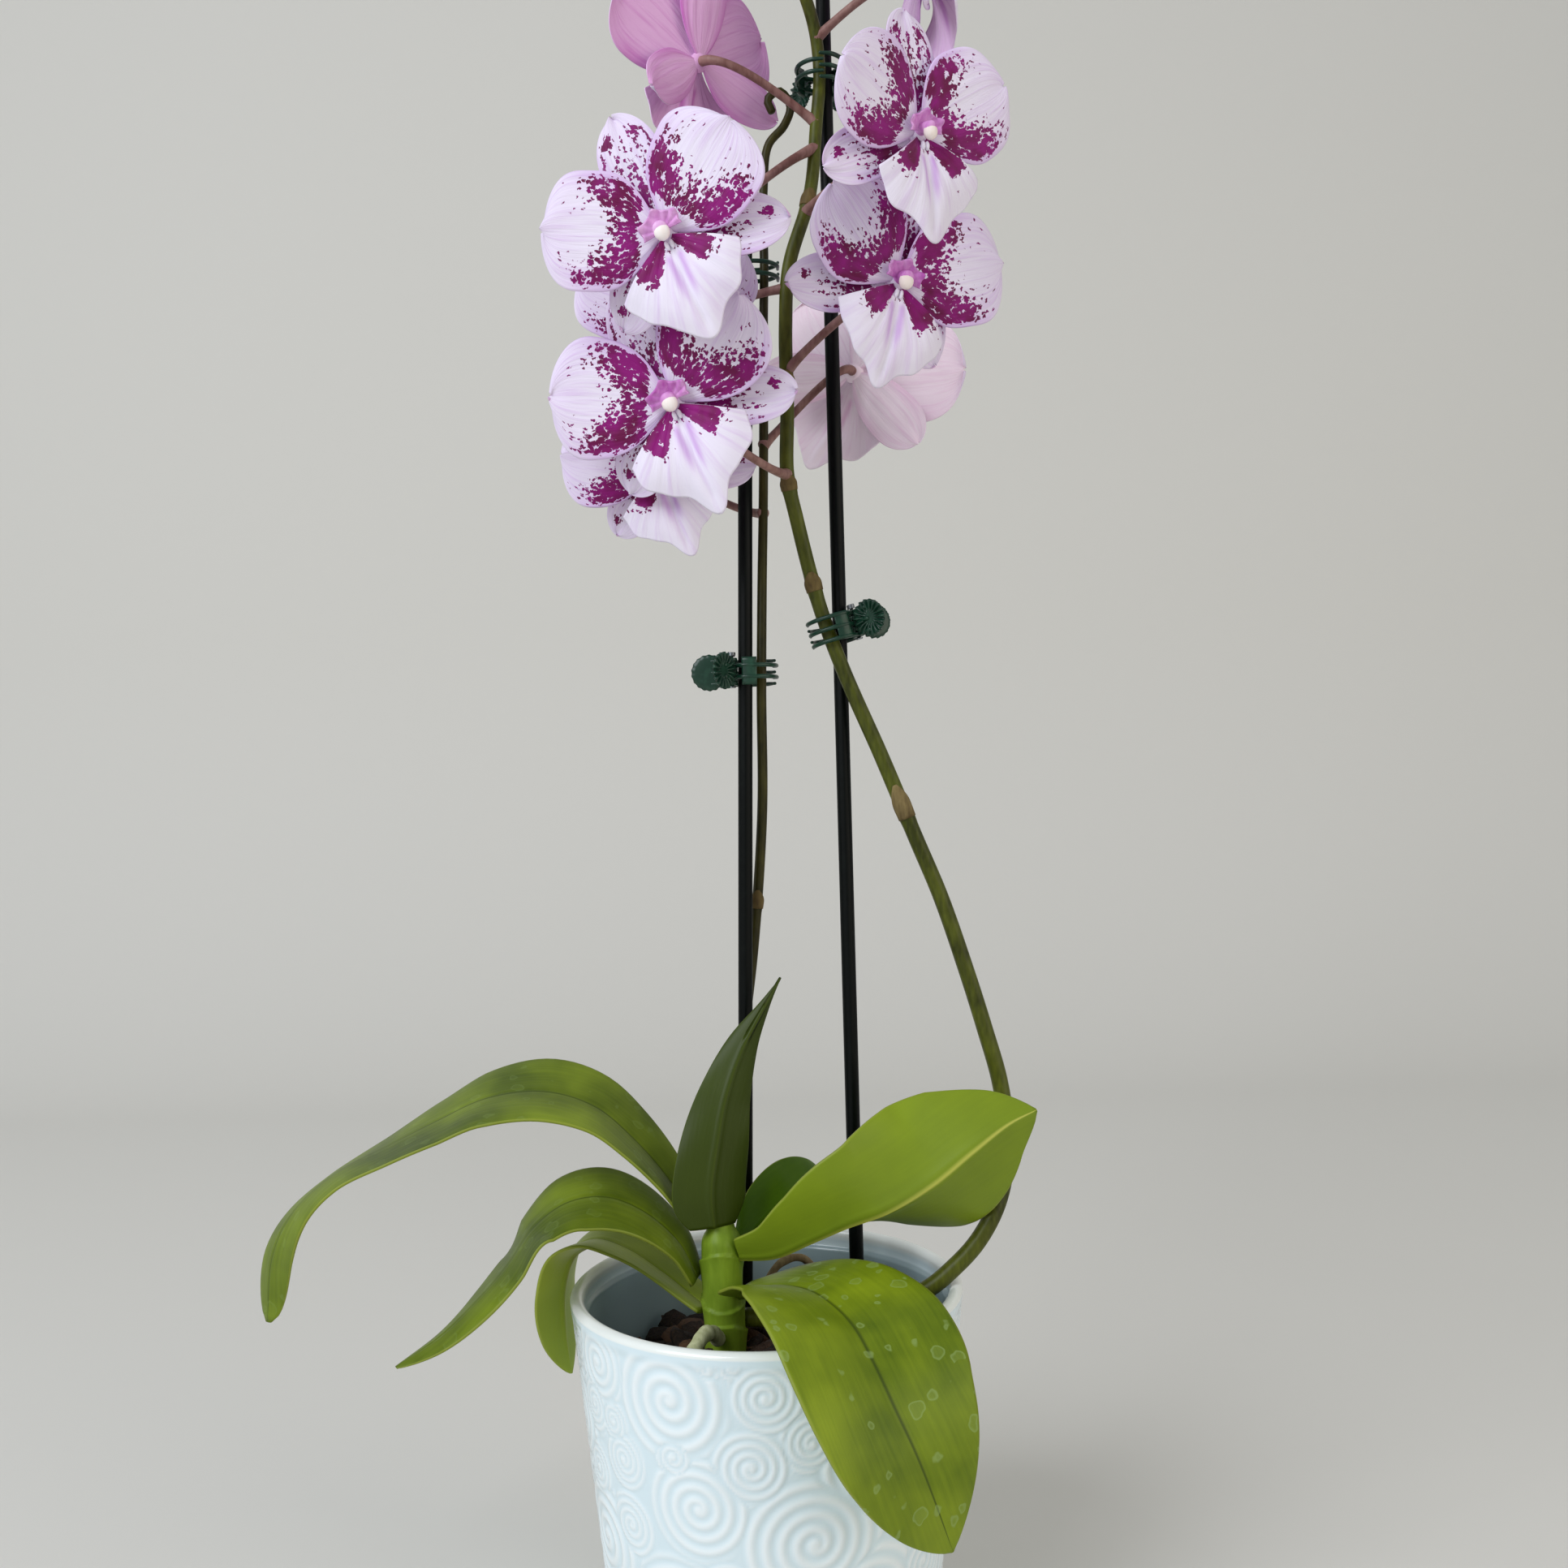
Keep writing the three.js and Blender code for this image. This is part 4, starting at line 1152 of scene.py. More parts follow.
def leaves() -> list[Leaf]:
    """The seven leaves, with the model's ribs, ways across and widths, and a skin for each one: the upright
    leaf's painted very dark as shade, and the lit one's painted lighter as light coming through it.

    Returns:
        The leaves from left to right, the front one last.
    """
    plain = LeafSkin("leaf_skin", rings=0.14)
    # Painted shade: every tone of the upright leaf is painted very dark as shade
    dark = LeafSkin("leaf_skin_painted_shade", "1f2c03", "38460a", "333f0a", keel="414e10", margin="55641e")
    shaded = LeafSkin("leaf_skin_shaded", "456606", "5c800e", "567a10")
    sunny = LeafSkin("leaf_skin_sunny", "566b10", "80951e", "6f8320", keel="c4c55a", rings=0.1)
    lit = LeafSkin("leaf_skin_lit", "7a8c1c", "a3b23a", "a0ae38", keel="b3b553")
    ringed = LeafSkin("leaf_skin_ringed", "4c620a", "8b9e1c", "75882c", rings=0.5)
    return [
        Leaf(
            "leaf_upper_left",
            [[-25, -4, 152], [-35, -3, 168.5], [-47.5, -3, 183.4], [-60, -4, 194.5], [-77, -6, 200.5],
             [-96.7, -8, 199], [-113.6, -10, 192], [-130.2, -13, 184.4], [-149.2, -17, 175.5],
             [-162, -20, 164], [-168.5, -22, 151], [-171, -23, 128]],
            [[0.3, 0.9, 0.2], [0.1, 0.94, 0.3], [0, 0.95, 0.25], [-0.3, 0.9, -0.1], [-0.85, 0.5, 0.1]],
            21, 0.4, 0.3, (15, -12), 0.5, skin=plain,
        ),
        Leaf(
            "leaf_lower_left",
            [[-25, -9, 134], [-31, -9.5, 147], [-42.9, -12, 159], [-55.3, -15, 165], [-67.5, -19, 164.5],
             [-78, -24, 158], [-86.3, -30, 147], [-96, -35, 137], [-107.7, -39, 127], [-123, -41, 118]],
            [[0.2, 0.9, 0.2], [0.1, 0.93, 0.3], [0, 0.93, 0.33], [-0.2, 0.95, 0.12], [-0.25, 0.92, 0.12]],
            17, 0.4, 0.35, (8, -12), skin=plain,
        ),
        Leaf(
            "leaf_over_rim",
            [[-21.6, -2.9, 121], [-37, 7.5, 130], [-52, 14, 138], [-63, 17, 140.5], [-72, 19, 136],
             [-76.5, 19, 124], [-76.5, 18, 108], [-73.5, 17, 92]],
            [[0.4, 0.9, 0.1], [0.3, 0.95, 0], [0.37, 0.93, 0]],
            16, 0.72, 0.4, (15, 5), skin=lit,
        ),
        Leaf(
            "leaf_upright",
            [[-17.8, -13, 153.3], [-18.5, -13.3, 166], [-16, -11, 182], [-12.5, -8, 198], [-6, -4, 215],
             [1.5, -1, 228], [8, 2, 238.5]],
            [[-0.93, -0.3, 0], [-0.9, -0.2, 0], [-0.6, -0.1, 0.6]],
            13.5, 0.12, 0.6, (8, 30), 1.2, skin=dark,
        ),
        Leaf(
            "leaf_back_right",
            [[-9, 0, 142], [1, 5.5, 151], [10, 12, 156.5], [18, 20, 158.5], [26, 28, 154]],
            [[0.5, -0.5, -0.3], [0.4, -0.4, -0.8], [0.5, -0.5, -0.6]],
            14, 0.5, 0.24, (20, 8), skin=shaded,
        ),
        Leaf(
            "leaf_big_right",
            [[-9, -11.6, 143], [3.5, -15.5, 144.5], [16, -18, 150], [29, -21, 156], [42, -24, 161],
             [58, -25, 170], [72, -23, 180], [85, -19, 188], [96, -15, 192]],
            [[-0.3, -0.8, 0.5], [-0.38, -0.73, 0.63], [-0.4, -0.1, 0.9], [-0.35, 0.25, 0.9]],
            30, 0.62, 0.255, (30, 26), skin=sunny,
        ),
        Leaf(
            "leaf_front",
            [[-10, -13.5, 130], [2, -23.5, 135], [13, -36, 138], [21, -51, 138.5], [28.5, -65, 135],
             [34, -75, 127], [39.5, -81, 116], [45, -83, 104], [50.5, -82, 89], [56.5, -77, 70]],
            [[-0.75, -0.6, 0], [-0.8, -0.55, 0], [-0.7, -0.45, -0.25]],
            32.5, 0.52, 0.3, (15, 3), skin=ringed,
        ),
    ]  # fmt: skip


# Blooms

# Millimetres between the flecks of two seeds that differ by 1, along the third part of the vein mark
SEED_STEP = 7.7


class Tepal(Enum):
    """The parts of a bloom that are drawn as a blade."""

    PETAL = "petal"
    UPPER = "upper sepal"
    LATERAL = "lateral sepal"


@dataclass
class Blade:
    """One tepal in the bloom's own frame: +y towards its tip, +z the way the bloom faces."""

    kind: Tepal
    reach: float
    half_width: float
    sweep: float = 4.5
    lower: int = 1

    def share(self, u: Array) -> Array:
        """Half-width share from the centre to the tip, each kind's own rounded outline.

        Args:
            u: Shares of the reach.

        Returns:
            For a petal the root of 1 - |2 u ** 1.35 - 1| ** 2.6, for a sepal that of
            1 - |2 u ** 1.05 - 1| ** 2.3, both waisted towards the centre.
        """
        u = np.clip(u, 1e-3, 1 - 1e-5)
        if self.kind is Tepal.PETAL:
            return np.sqrt(1 - np.abs(2 * u**1.35 - 1) ** 2.6) * (1 - 0.6 * np.exp(-u / 0.12))
        return np.sqrt(1 - np.abs(2 * u**1.05 - 1) ** 2.3) * (1 - 0.55 * np.exp(-u / 0.2))

    def lift(self, u: Array, v: Array) -> Array:
        """How far the blade stands forward.

        Args:
            u: Share of the reach.
            v: Share of the half width, -1 to 1.

        Returns:
            Millimetres that rise along a petal, which cups, and fall along a sepal, which sweeps back.
        """
        if self.kind is Tepal.PETAL:
            return 0.5 + 8 * u - 2 * u * u - 1.5 * v * v * u
        return -1.5 - self.sweep * u * u + 1.2 * v * v * np.sin(np.pi * u)

    def marking(self, u: Array, v: Array) -> Array:
        """How densely the flecks lie, from 0 for none to 1.2 for solid colour.

        Args:
            u: Share of the reach.
            v: Share of the half width, -1 to 1.

        Returns:
            For a petal, solid outside a plain throat, with an arm along each side and a plain wedge between
            them; for a sepal, dots along its veins, dense at its base, with blotches near its tip.
        """
        size = np.abs(v)
        throat = smooth(0.15, 0.21, u + 0.015 * np.sin(11 * v))
        if self.kind is Tepal.PETAL:
            reach = 0.42 + 0.26 * smooth(0.12, 0.7, size) + 0.05 * v * self.lower
            solid = 1.2 * (1 - smooth(reach - 0.26, reach + 0.32, u))
            stray = 0.3 * smooth(0.0, 0.5, size) * (1 - smooth(0.82, 0.96, u))
            return np.maximum(solid, stray) * throat * (1 - smooth(0.86, 1.0, size))
        veins = (0.5 + 0.5 * np.cos(2 * np.pi * v / 0.4)) ** 3
        edge = 1 - smooth(0.8, 1.0, size)
        if self.kind is Tepal.UPPER:
            base = 1 - smooth(0.34, 0.66, u)
            run = (0.42 + 0.45 * veins) * (1 - smooth(0.78, 0.9, u))
            tip = 1.25 * bell(u, 0.82, 0.07) * bell(size, 0.55, 0.28)
        else:
            base = 1.15 * (1 - smooth(0.36, 0.66, u))
            run = (0.3 + 0.45 * veins) * (1 - smooth(0.64, 0.86, u))
            tip = 1.25 * bell(u, 0.83, 0.065) * bell(v, -0.35 * self.lower, 0.28)
        return np.maximum(np.maximum(base, run), tip) * throat * edge

    def build(self, seed: float, strength: float) -> Shape:
        """The tepal as a thin closed sheet, its edge waved and its outline uneven.

        Args:
            seed: Changes the waves and the flecks from one bloom to the next.
            strength: How strongly it is marked.

        Returns:
            The shape, with the marks vein (mm across the veins, mm along them, seed), marking and blush.
        """
        t, across = np.linspace(0, 1, 40), np.linspace(-1, 1, 27)[None]
        u = (0.03 + 0.9695 * np.sin(t * np.pi / 2) ** 1.25)[:, None]
        v = np.sin(across * np.pi / 2) * 0.6 + across * 0.4
        x = v * self.half_width * self.share(u) * (1 + 0.025 * np.sin(9 * u + seed))
        y = 1 + (self.reach - 1) * u * (1 + 0.012 * np.cos(5 * v + seed) * u**3)
        edge = np.maximum(np.abs(v) ** 4, smooth(0.75, 1, u)) * smooth(0.1, 0.4, u)
        turn = np.arctan2(v, 1.2 * u - 0.4)
        waves = 0.55 * np.sin(5 * turn + 2.3 * seed) * edge
        ribs = 0.18 * np.cos(6 * np.pi * v) * np.sin(np.pi * u) * (1 - edge)
        z = self.lift(u, v) + waves + ribs - 0.5 * bell(v, 0, 0.07) * np.sin(np.pi * u)
        points = np.stack([x + 0 * u, y + 0 * v, z], -1)
        thick = mix(0.85, 0.35, np.maximum(np.abs(v) ** 6, smooth(0.85, 1, u)))
        full = np.ones(x.shape)
        vein = np.stack([v * self.half_width * full, self.reach * u * full, SEED_STEP * seed * full], -1)
        sides = 0.55 * smooth(0.5, 1.0, np.abs(v)) * (1 - smooth(0.5, 0.95, u))
        blush = sides + 0.1 + 0.15 * smooth(0.5, 1, u)
        return sheet(points, thick, vein=vein, marking=self.marking(u, v) * full * strength, blush=blush)


@dataclass
class LipFan:
    """The lip: a broad fan about its own root that arches forward, with a short point at its middle."""

    reach: float = 32.5
    point: float = 7.0
    spread: float = 57.0

    def edge(self, angle: Array) -> Array:
        """How far the fan reaches, at an angle from its middle.

        Args:
            angle: Angles in degrees.

        Returns:
            reach (1 - 0.26 (angle / 65) ** 2) + point * e ** -((angle / 9) ** 2).
        """
        return self.reach * (1 - 0.26 * (angle / 65) ** 2) + self.point * bell(angle, 0, 9)

    def marking(self, x: Array, y: Array) -> Array:
        """How densely the fan is inked.

        Args:
            x: Millimetres across the fan.
            y: Millimetres from its root towards its point.

        Returns:
            Two patches that part at 41 degrees from the throat, to 19 mm out and up to 8 mm wide, with a
            fringe of dots, and two short streaks beside the middle.
        """
        dense = np.zeros(x.shape)
        for sense in (-1, 1):
            turn = math.radians(41) * sense
            out, off = y * math.cos(turn) + x * math.sin(turn), x * math.cos(turn) - y * math.sin(turn)
            wide = np.minimum(1.4 + 0.24 * np.maximum(out - 3, 0), 4.0)
            off = np.abs(off) / wide
            inside = 1 - smooth(0.75, 1.3, off)
            solid = 1.4 * inside * smooth(1.0, 2.5, out) * (1 - smooth(16.0, 21.0, out))
            fringe = 0.42 * (1 - smooth(1.0, 1.9, off)) * (1 - smooth(19, 25, out)) * smooth(3, 6, out)
            dense = np.maximum(dense, np.maximum(solid, fringe))
        streak = 1.1 * bell(np.abs(x), 1.1, 0.55) * (1 - smooth(6.5, 9, y)) * smooth(2, 4, y)
        return np.maximum(dense, streak)

    def build(self, seed: float, strength: float) -> Shape:
        """The fan as a thin closed sheet at 1.1 + 6.5 sin(2.4 u) - v v u, scalloped and waved at its edge.

        Args:
            seed: Changes the waves from one bloom to the next.
            strength: How strongly it is marked.

        Returns:
            The shape, pointing to -y, with the marks vein, marking and blush.
        """
        u, v = (0.05 + 0.95 * np.linspace(0, 1, 44))[:, None], np.linspace(-1, 1, 63)[None]
        angle = self.spread * v
        turn = np.radians(angle)
        scallop = 1 + 0.02 * np.cos(9 * turn + seed) + 0.012 * np.cos(17 * turn + 2 * seed)
        out = mix(1.5, self.edge(angle) * scallop, u)
        x, y = out * np.sin(turn), out * np.cos(turn)
        waves = 0.9 * np.sin(6 * turn + 2.3 * seed) * smooth(0.5, 1, u)
        groove = 1.5 * bell(x, 0, 1.5) * smooth(0.2, 0.45, u) * (1 - smooth(0.8, 1, u))
        ribs = 0.12 * np.cos(30 * turn) * np.sin(np.pi * u)
        z = 1.1 + 6.5 * np.sin(2.4 * u) - v * v * u + waves - groove + ribs
        thick = mix(0.85, 0.4, smooth(0.8, 1, u)) + 0 * v
        vein = np.stack([14 * turn + 0 * u, out, 0 * out + SEED_STEP * seed], -1)
        blush = 0.08 + 0.75 * bell(np.abs(x), 2.2, 1.1) * smooth(7, 10, y) * (1 - smooth(18, 27, y))
        points = np.stack([x, y, z], -1)
        fan = sheet(points, thick, vein=vein, marking=self.marking(x, y) * strength, blush=blush)
        return fan.placed(Matrix.Rotation(math.pi, 4, "Z"))


@dataclass
class Bloom:
    """One open bloom: two broad petals, three sepals, a broad lip and the column with its cap."""

    letter: str
    at: tuple
    yaw: float
    pitch: float
    roll: float
    size: float
    inner: int
    strength: float = 1.0
    tissue: PetalTissue = PetalTissue("petal_tissue")

    def matrix(self) -> Matrix:
        """The bloom's place.

        Returns:
            Its hub's move, times its front from yaw and pitch, its roll about the front and its size.
        """
        turn, rise = math.radians(self.yaw), math.radians(self.pitch)
        front = Vector((math.sin(turn) * math.cos(rise), -math.cos(turn) * math.cos(rise), math.sin(rise)))
        right = Vector((0, 0, 1)).cross(front).normalized()
        basis = Matrix((right, front.cross(right), front)).transposed().to_4x4()
        roll = Matrix.Rotation(math.radians(self.roll), 4, "Z")
        return Matrix.Translation(self.at) @ basis @ roll @ Matrix.Scale(self.size, 4)

    def perianth(self, seed: float) -> Shape:
        """The petals and sepals round their hub, each turned to its own angle about the front.

        Args:
            seed: The bloom's own number.

        Returns:
            One shape. The petals stand 61 degrees from the upper sepal, the longer lateral sepal 110 and
            the other 122.
        """
        parts = [
            (Blade(Tepal.UPPER, 44.5, 11.5), 0),
            (Blade(Tepal.LATERAL, 41, 10.5, 3, self.inner), -self.inner * 110),
            (Blade(Tepal.LATERAL, 34, 10.5, 9, -self.inner), self.inner * 122),
            (Blade(Tepal.PETAL, 41, 20, lower=-1), 61),
            (Blade(Tepal.PETAL, 41, 20, lower=1), -61),
        ]
        shapes = [
            blade.build(seed + 1.3 * k, self.strength).placed(Matrix.Rotation(math.radians(angle), 4, "Z"))
            for k, (blade, angle) in enumerate(parts)
        ]
        hub = ball((0, 0, -0.6), (3.9, 3.9, 2.3), 12, 24)
        front = hub.points[:, 2] > 0.2
        hub.marks = {"front": front.astype(float), "blush": np.full(len(front), 0.15)}
        return joined(shapes + [hub])

    def lip(self, seed: float) -> Shape:
        """The lip, hanging from the hub, with the small two-toothed callus at its base.

        Args:
            seed: The lip's own number.

        Returns:
            The fan and the two teeth.
        """
        teeth = [ball((x, -4.8, 3.9), (0.8, 1.7, 1.0), 8, 12) for x in (-0.9, 0.9)]
        for tooth in teeth:
            tooth.marks = {"front": np.ones(len(tooth.points)), "marking": np.full(len(tooth.points), 0.6)}
        return joined([LipFan().build(seed, self.strength), *teeth])

    def column(self) -> Shape:
        """The column: a stub that leans down, a ruffled crest over it and the round anther cap at its end.

        Returns:
            The three in one, the crest a fan at r (sin a, 0.8 cos a) that cups forward by 0.06 r r.
        """
        t = np.linspace(0, 1, 20)
        line = bezier([(0, 1.6, 0.8), (0, 1.6, 4.6), (0, 0.2, 7.4)], t)
        stub = swept(line, 2.6 - 0.5 * np.sin(np.pi * t), 24)
        r, a = np.linspace(0.15, 1, 14)[:, None], np.radians(np.linspace(-105, 105, 61))[None]
        out = 7.2 * r * (1 + 0.1 * np.cos(6 * a) * r)
        ruffle = 2.6 + 0.06 * out**2 + 0.5 * np.cos(12 * a) * r**2
        crest = sheet(np.stack([out * np.sin(a), 0.9 + 0.8 * out * np.cos(a), ruffle], -1), 0.7)
        cap = ball((0, -0.9, 7.2), (2.7, 2.9, 2.2), 14, 24)
        cap.finish = 1
        return joined([stub, crest, cap])

    def build(self) -> None:
        """The bloom's three pieces, each in the place of its CAD node."""
        name = f"bloom_{self.letter}"
        seed = (ord(self.letter) - 96) * 1.7
        place, tissue = self.matrix(), [self.tissue]
        add_piece(f"{name}_tepals", self.perianth(seed).placed(place), tissue, name)
        add_piece(f"{name}_lip_blade", self.lip(seed + 9).placed(place), tissue, f"{name}_lip")
        column, finishes = self.column().placed(place), [Skins.COLUMN, Skins.CAP]
        add_piece(f"{name}_column_cap", column, finishes, f"{name}_column")


def blooms() -> list[Bloom]:
    """The nine blooms, with the places of the model.

    Returns:
        Each with its letter, place, yaw, pitch, roll, size, the side of its longer lateral sepal, how
        strongly it is marked and its tissue.
    """
    deep = PetalTissue("petal_tissue_deep", back="efbfe8", back_vein="cb6cc0")
    pale = PetalTissue("petal_tissue_pale", back="fdf0f7", back_vein="eabfdd")
    return [
        Bloom("a", (-21.5, -58, 484.5), -10, -6, 24, 0.96, 1),
        Bloom("b", (-22, -36, 436), -10, -6, 23, 1.0, 1, 1.05),
        Bloom("c", (60, -54, 515.5), 33, -4, 4, 0.9, -1, 1.1),
        Bloom("d", (54, -28, 476.5), 26, -6, -15, 0.96, -1, 1.1),
        Bloom("e", (-12.5, 6, 568), -140, 8, 0, 0.9, -1, tissue=deep),
        Bloom("f", (-29.5, -11, 419.5), -4, -4, 20, 0.82, 1),
        Bloom("g", (42, 32, 461.5), 160, -8, 30, 1.0, -1, tissue=pale),
        Bloom("h", (-23.5, -20.8, 470), -8, -2, 5, 0.8, 1, 0.8),
        Bloom("i", (68.5, -2, 593), 100, 6, 0, 0.9, 1),
    ]


# Spikes


class Tissue(IntEnum):
    """The kinds of tissue on a spike, numbered in the order of its finishes."""

    STEM = 0
    PEDICEL = 1
    BRACT = 2
    BUD = 3
    SCALE = 4


@dataclass
class Spike:
    """A flower spike: its stem, a scale at each node, and a stalk for each bloom or bud."""

    name: str
    route: list
    radius: tuple
    nodes: tuple
    skin: PlantSkin
    pedicels: list
    buds: list = field(default_factory=list)
    papery: float = 10.0

    def stem(self, route: Route) -> Shape:
        """The stem.

        Args:
            route: Its line.

        Returns:
            A sweep whose radius runs evenly from foot to tip, with a low swelling at each node.
        """
        s = np.linspace(0, 1, 260)
        radius = mix(self.radius[0], self.radius[1], s)
        for place, _ in self.nodes:
            radius = radius + 0.35 * bell(s, place, 0.004)
        return swept(route.at(s), radius, 20)

    def bract(self, route: Route, share: float, long: float) -> Shape:
        """A scale that clasps the stem on its front, a papery bract where it is long.

        Args:
            route: The stem's line.
            share: The node's place.
            long: Its length.

        Returns:
            A sheet at radius + 0.25 + 0.5 u from the line and the turn 1.9 v (1 - 0.9 u ** 1.4), u rising
            along it.
        """
        at, along = route.at(share), route.way(share)
        out = unit(np.array([0, -1, 0]) + along * along[1])
        side = np.cross(along, out)
        u, v = np.meshgrid(np.linspace(0, 1, 14), np.linspace(-1, 1, 15), indexing="ij")
        turn = 1.9 * v * (1 - 0.9 * u**1.4)
        reach = mix(self.radius[0], self.radius[1], share) + 0.25 + 0.5 * u
        spread = out * np.cos(turn)[..., None] + side * np.sin(turn)[..., None]
        points = at + along * (long * u - 1.5)[..., None] + spread * reach[..., None]
        scale = sheet(points[:, ::-1], 0.4)
        scale.finish = Tissue.BRACT if long > self.papery else Tissue.SCALE
        return scale

    def pedicel(self, route: Route, share: float, by: tuple | None, bloom: Bloom) -> Shape:
        """A flower stalk: a Bezier curve from the stem to the back of the bloom's hub.

        Args:
            route: The stem's line.
            share: Where it leaves the stem.
            by: The point that bends it, or None for one a third of the way and 4 mm up.
            bloom: The bloom that it carries.

        Returns:
            The stalk, thicker where it leaves the stem and where it meets the bloom.
        """
        front = np.array(bloom.matrix().to_3x3() @ Vector((0, 0, 1)))
        front = front / np.linalg.norm(front)
        start = route.at(share)
        end = np.array(bloom.at) - front * (bloom.size * 2.7)
        way = end - start
        leave = start + 0.35 * way + [0, 0, 4] if by is None else np.array(by)
        t = np.linspace(0, 1, 36)
        line = bezier([start, leave, end - front * 0.3 * np.linalg.norm(way), end], t)
        thick = 1.45 + 0.9 * np.exp(-t / 0.07) + 0.35 * smooth(0.75, 1, t)
        stalk = swept(line, thick, 14)
        stalk.finish = Tissue.PEDICEL
        return stalk

    def bud(self, route: Route, share: float, at: tuple, radius: float) -> list[Shape]:
        """A closed bud on its short stalk: an egg whose three seams run from end to end.

        Args:
            route: The stem's line.
            share: Where it leaves the stem.
            at: Its centre.
            radius: Half its length.

        Returns:
            The egg and the stalk.
        """
        p, a = np.linspace(0.12, np.pi - 0.12, 22)[:, None], circle(36)[None]
        seam = 1 - 0.06 * np.abs(np.cos(1.5 * a)) ** 8
        r = 0.8 * radius * np.sin(p) * seam * (1 + 0.08 * np.cos(p))
        rings = np.stack([r * np.cos(a), r * np.sin(a), -radius * np.cos(p) + 0 * a], -1)
        lean = np.array(Matrix.Rotation(0.5, 3, "X") @ Matrix.Rotation(0.2, 3, "Y"))
        egg = shell(rings @ lean.T + np.array(at))
        egg.finish = Tissue.BUD
        start = route.at(share)
        middle = mix(start, np.array(at), 0.5) + [0, 0, 3]
        stalk = swept(bezier([start, middle, at], np.linspace(0, 1, 20)), 1.2, 12)
        stalk.finish = Tissue.PEDICEL
        return [egg, stalk]

    def build(self) -> None:
        """The whole spike as one piece, its finishes in the order of the kinds of tissue."""
        route = Route(self.route)
        parts = [self.stem(route)] + [self.bract(route, *node) for node in self.nodes]
        parts += [self.pedicel(route, *stalk) for stalk in self.pedicels]
        for item in self.buds:
            parts += self.bud(route, *item)
        finishes = [self.skin, Skins.PEDICEL, Skins.BRACT, Skins.BUD, Skins.SCALE]
        add_piece(f"{self.name}_stem", joined(parts), finishes, self.name)


def spikes(carried: dict[str, Bloom]) -> list[Spike]:
    """The two spikes, with the routes of the model.

    Args:
        carried: The blooms by letter.

    Returns:
        The thick bowed spike and the thin one beside the left stake.
    """
    first = [
        [-7.2, -5, 119], [12, -4, 117.5], [36, -7, 120], [56, -9, 128], [66.5, -9, 136], [75, -8, 144.5],
        [82.5, -4, 155.5], [87, 3, 167], [88.5, 9, 181], [87, 12, 197], [82, 12, 216.5], [75.7, 12, 238.5],
        [67.2, 11, 265], [58.5, 10, 287], [46.8, 9.5, 317], [34.1, 9.8, 348], [25.9, 9.8, 372],
        [18.3, 7, 404], [15.5, 4, 418.5], [16.1, 2, 441.6], [16.3, 0, 471], [18.1, 0, 492],
        [26.3, 3, 518.5], [29.4, 8, 545], [31.2, 10.2, 566], [29, 7, 583], [20, 0, 604], [8, -8, 622],
        [-6, -18, 637],
    ]  # fmt: skip
    second = [
        [-14.5, 1.8, 128], [-15, 9, 150], [-12, 17.5, 185], [-5.5, 19, 222], [-1.5, 19, 250],
        [2.9, 17.5, 298], [3.9, 14, 342], [5.2, 13.5, 380], [6.5, 14, 411], [7.4, 14, 438],
        [8.4, 14, 475], [9.2, 14, 496], [9.8, 14, 525], [12, 14, 541], [18, 14, 548], [20.4, 14, 555],
        [16.5, 14, 560.5], [12.2, 14, 557.5], [13.6, 14, 553.2],
    ]  # fmt: skip
    on_first = [
        (0.811, None, "a"), (0.619, (10, -27, 412), "b"), (0.77, None, "c"), (0.677, None, "d"),
        (0.827, None, "e"), (0.724, (6, 6, 486), "h"), (0.877, None, "i"),
    ]  # fmt: skip
    on_second = [(0.627, (0, 31, 408), "f"), (0.682, (15, 25, 441), "g")]
    buds = [(0.965, (12, -24, 642), 7.5), (0.985, (-18, -14, 645), 6), (0.998, (-9, -28, 650), 4.5)]
    return [
        Spike(
            "spike_1", first, (3.3, 2.1), ((0.409, 13), (0.552, 7), (0.612, 6), (0.67, 6), (0.776, 6)),
            Skins.SPIKE, [(share, by, carried[letter]) for share, by, letter in on_first], buds,
        ),
        Spike(
            "spike_2", second, (2.1, 1.5), ((0.308, 7),), Skins.THIN_SPIKE,
            [(share, by, carried[letter]) for share, by, letter in on_second],
        ),
    ]  # fmt: skip


# Stakes and clips


@dataclass
class Stake:
    """A steel rod with a green-black plastic coat and a rounded top."""

    name: str
    foot: tuple
    top: tuple
    radius: float = 2.75
    seam: float = 0.12

    def build(self) -> None:
        """The rod as a straight sweep whose coat has two faint lengthwise seams."""
        s, a = np.linspace(0, 1, 40)[:, None], circle(48)
        line = mix(np.array(self.foot, float), np.array(self.top, float), s)
        coat = self.radius - self.seam + self.seam * bell(np.sin(a), 0, 0.16)
        rod = swept(line, np.tile(coat, (s.size, 1)), a.size, 0.5)
        add_piece(f"{self.name}_coat", rod, [Skins.STAKE], self.name)


class Jaw(Enum):
    """The two jaws of a clip: one with three tines that opens, one with two that is fixed to the pin."""

    THREE = (-4.2, 0.0, 4.2)
    TWO = (-2.1, 2.1)


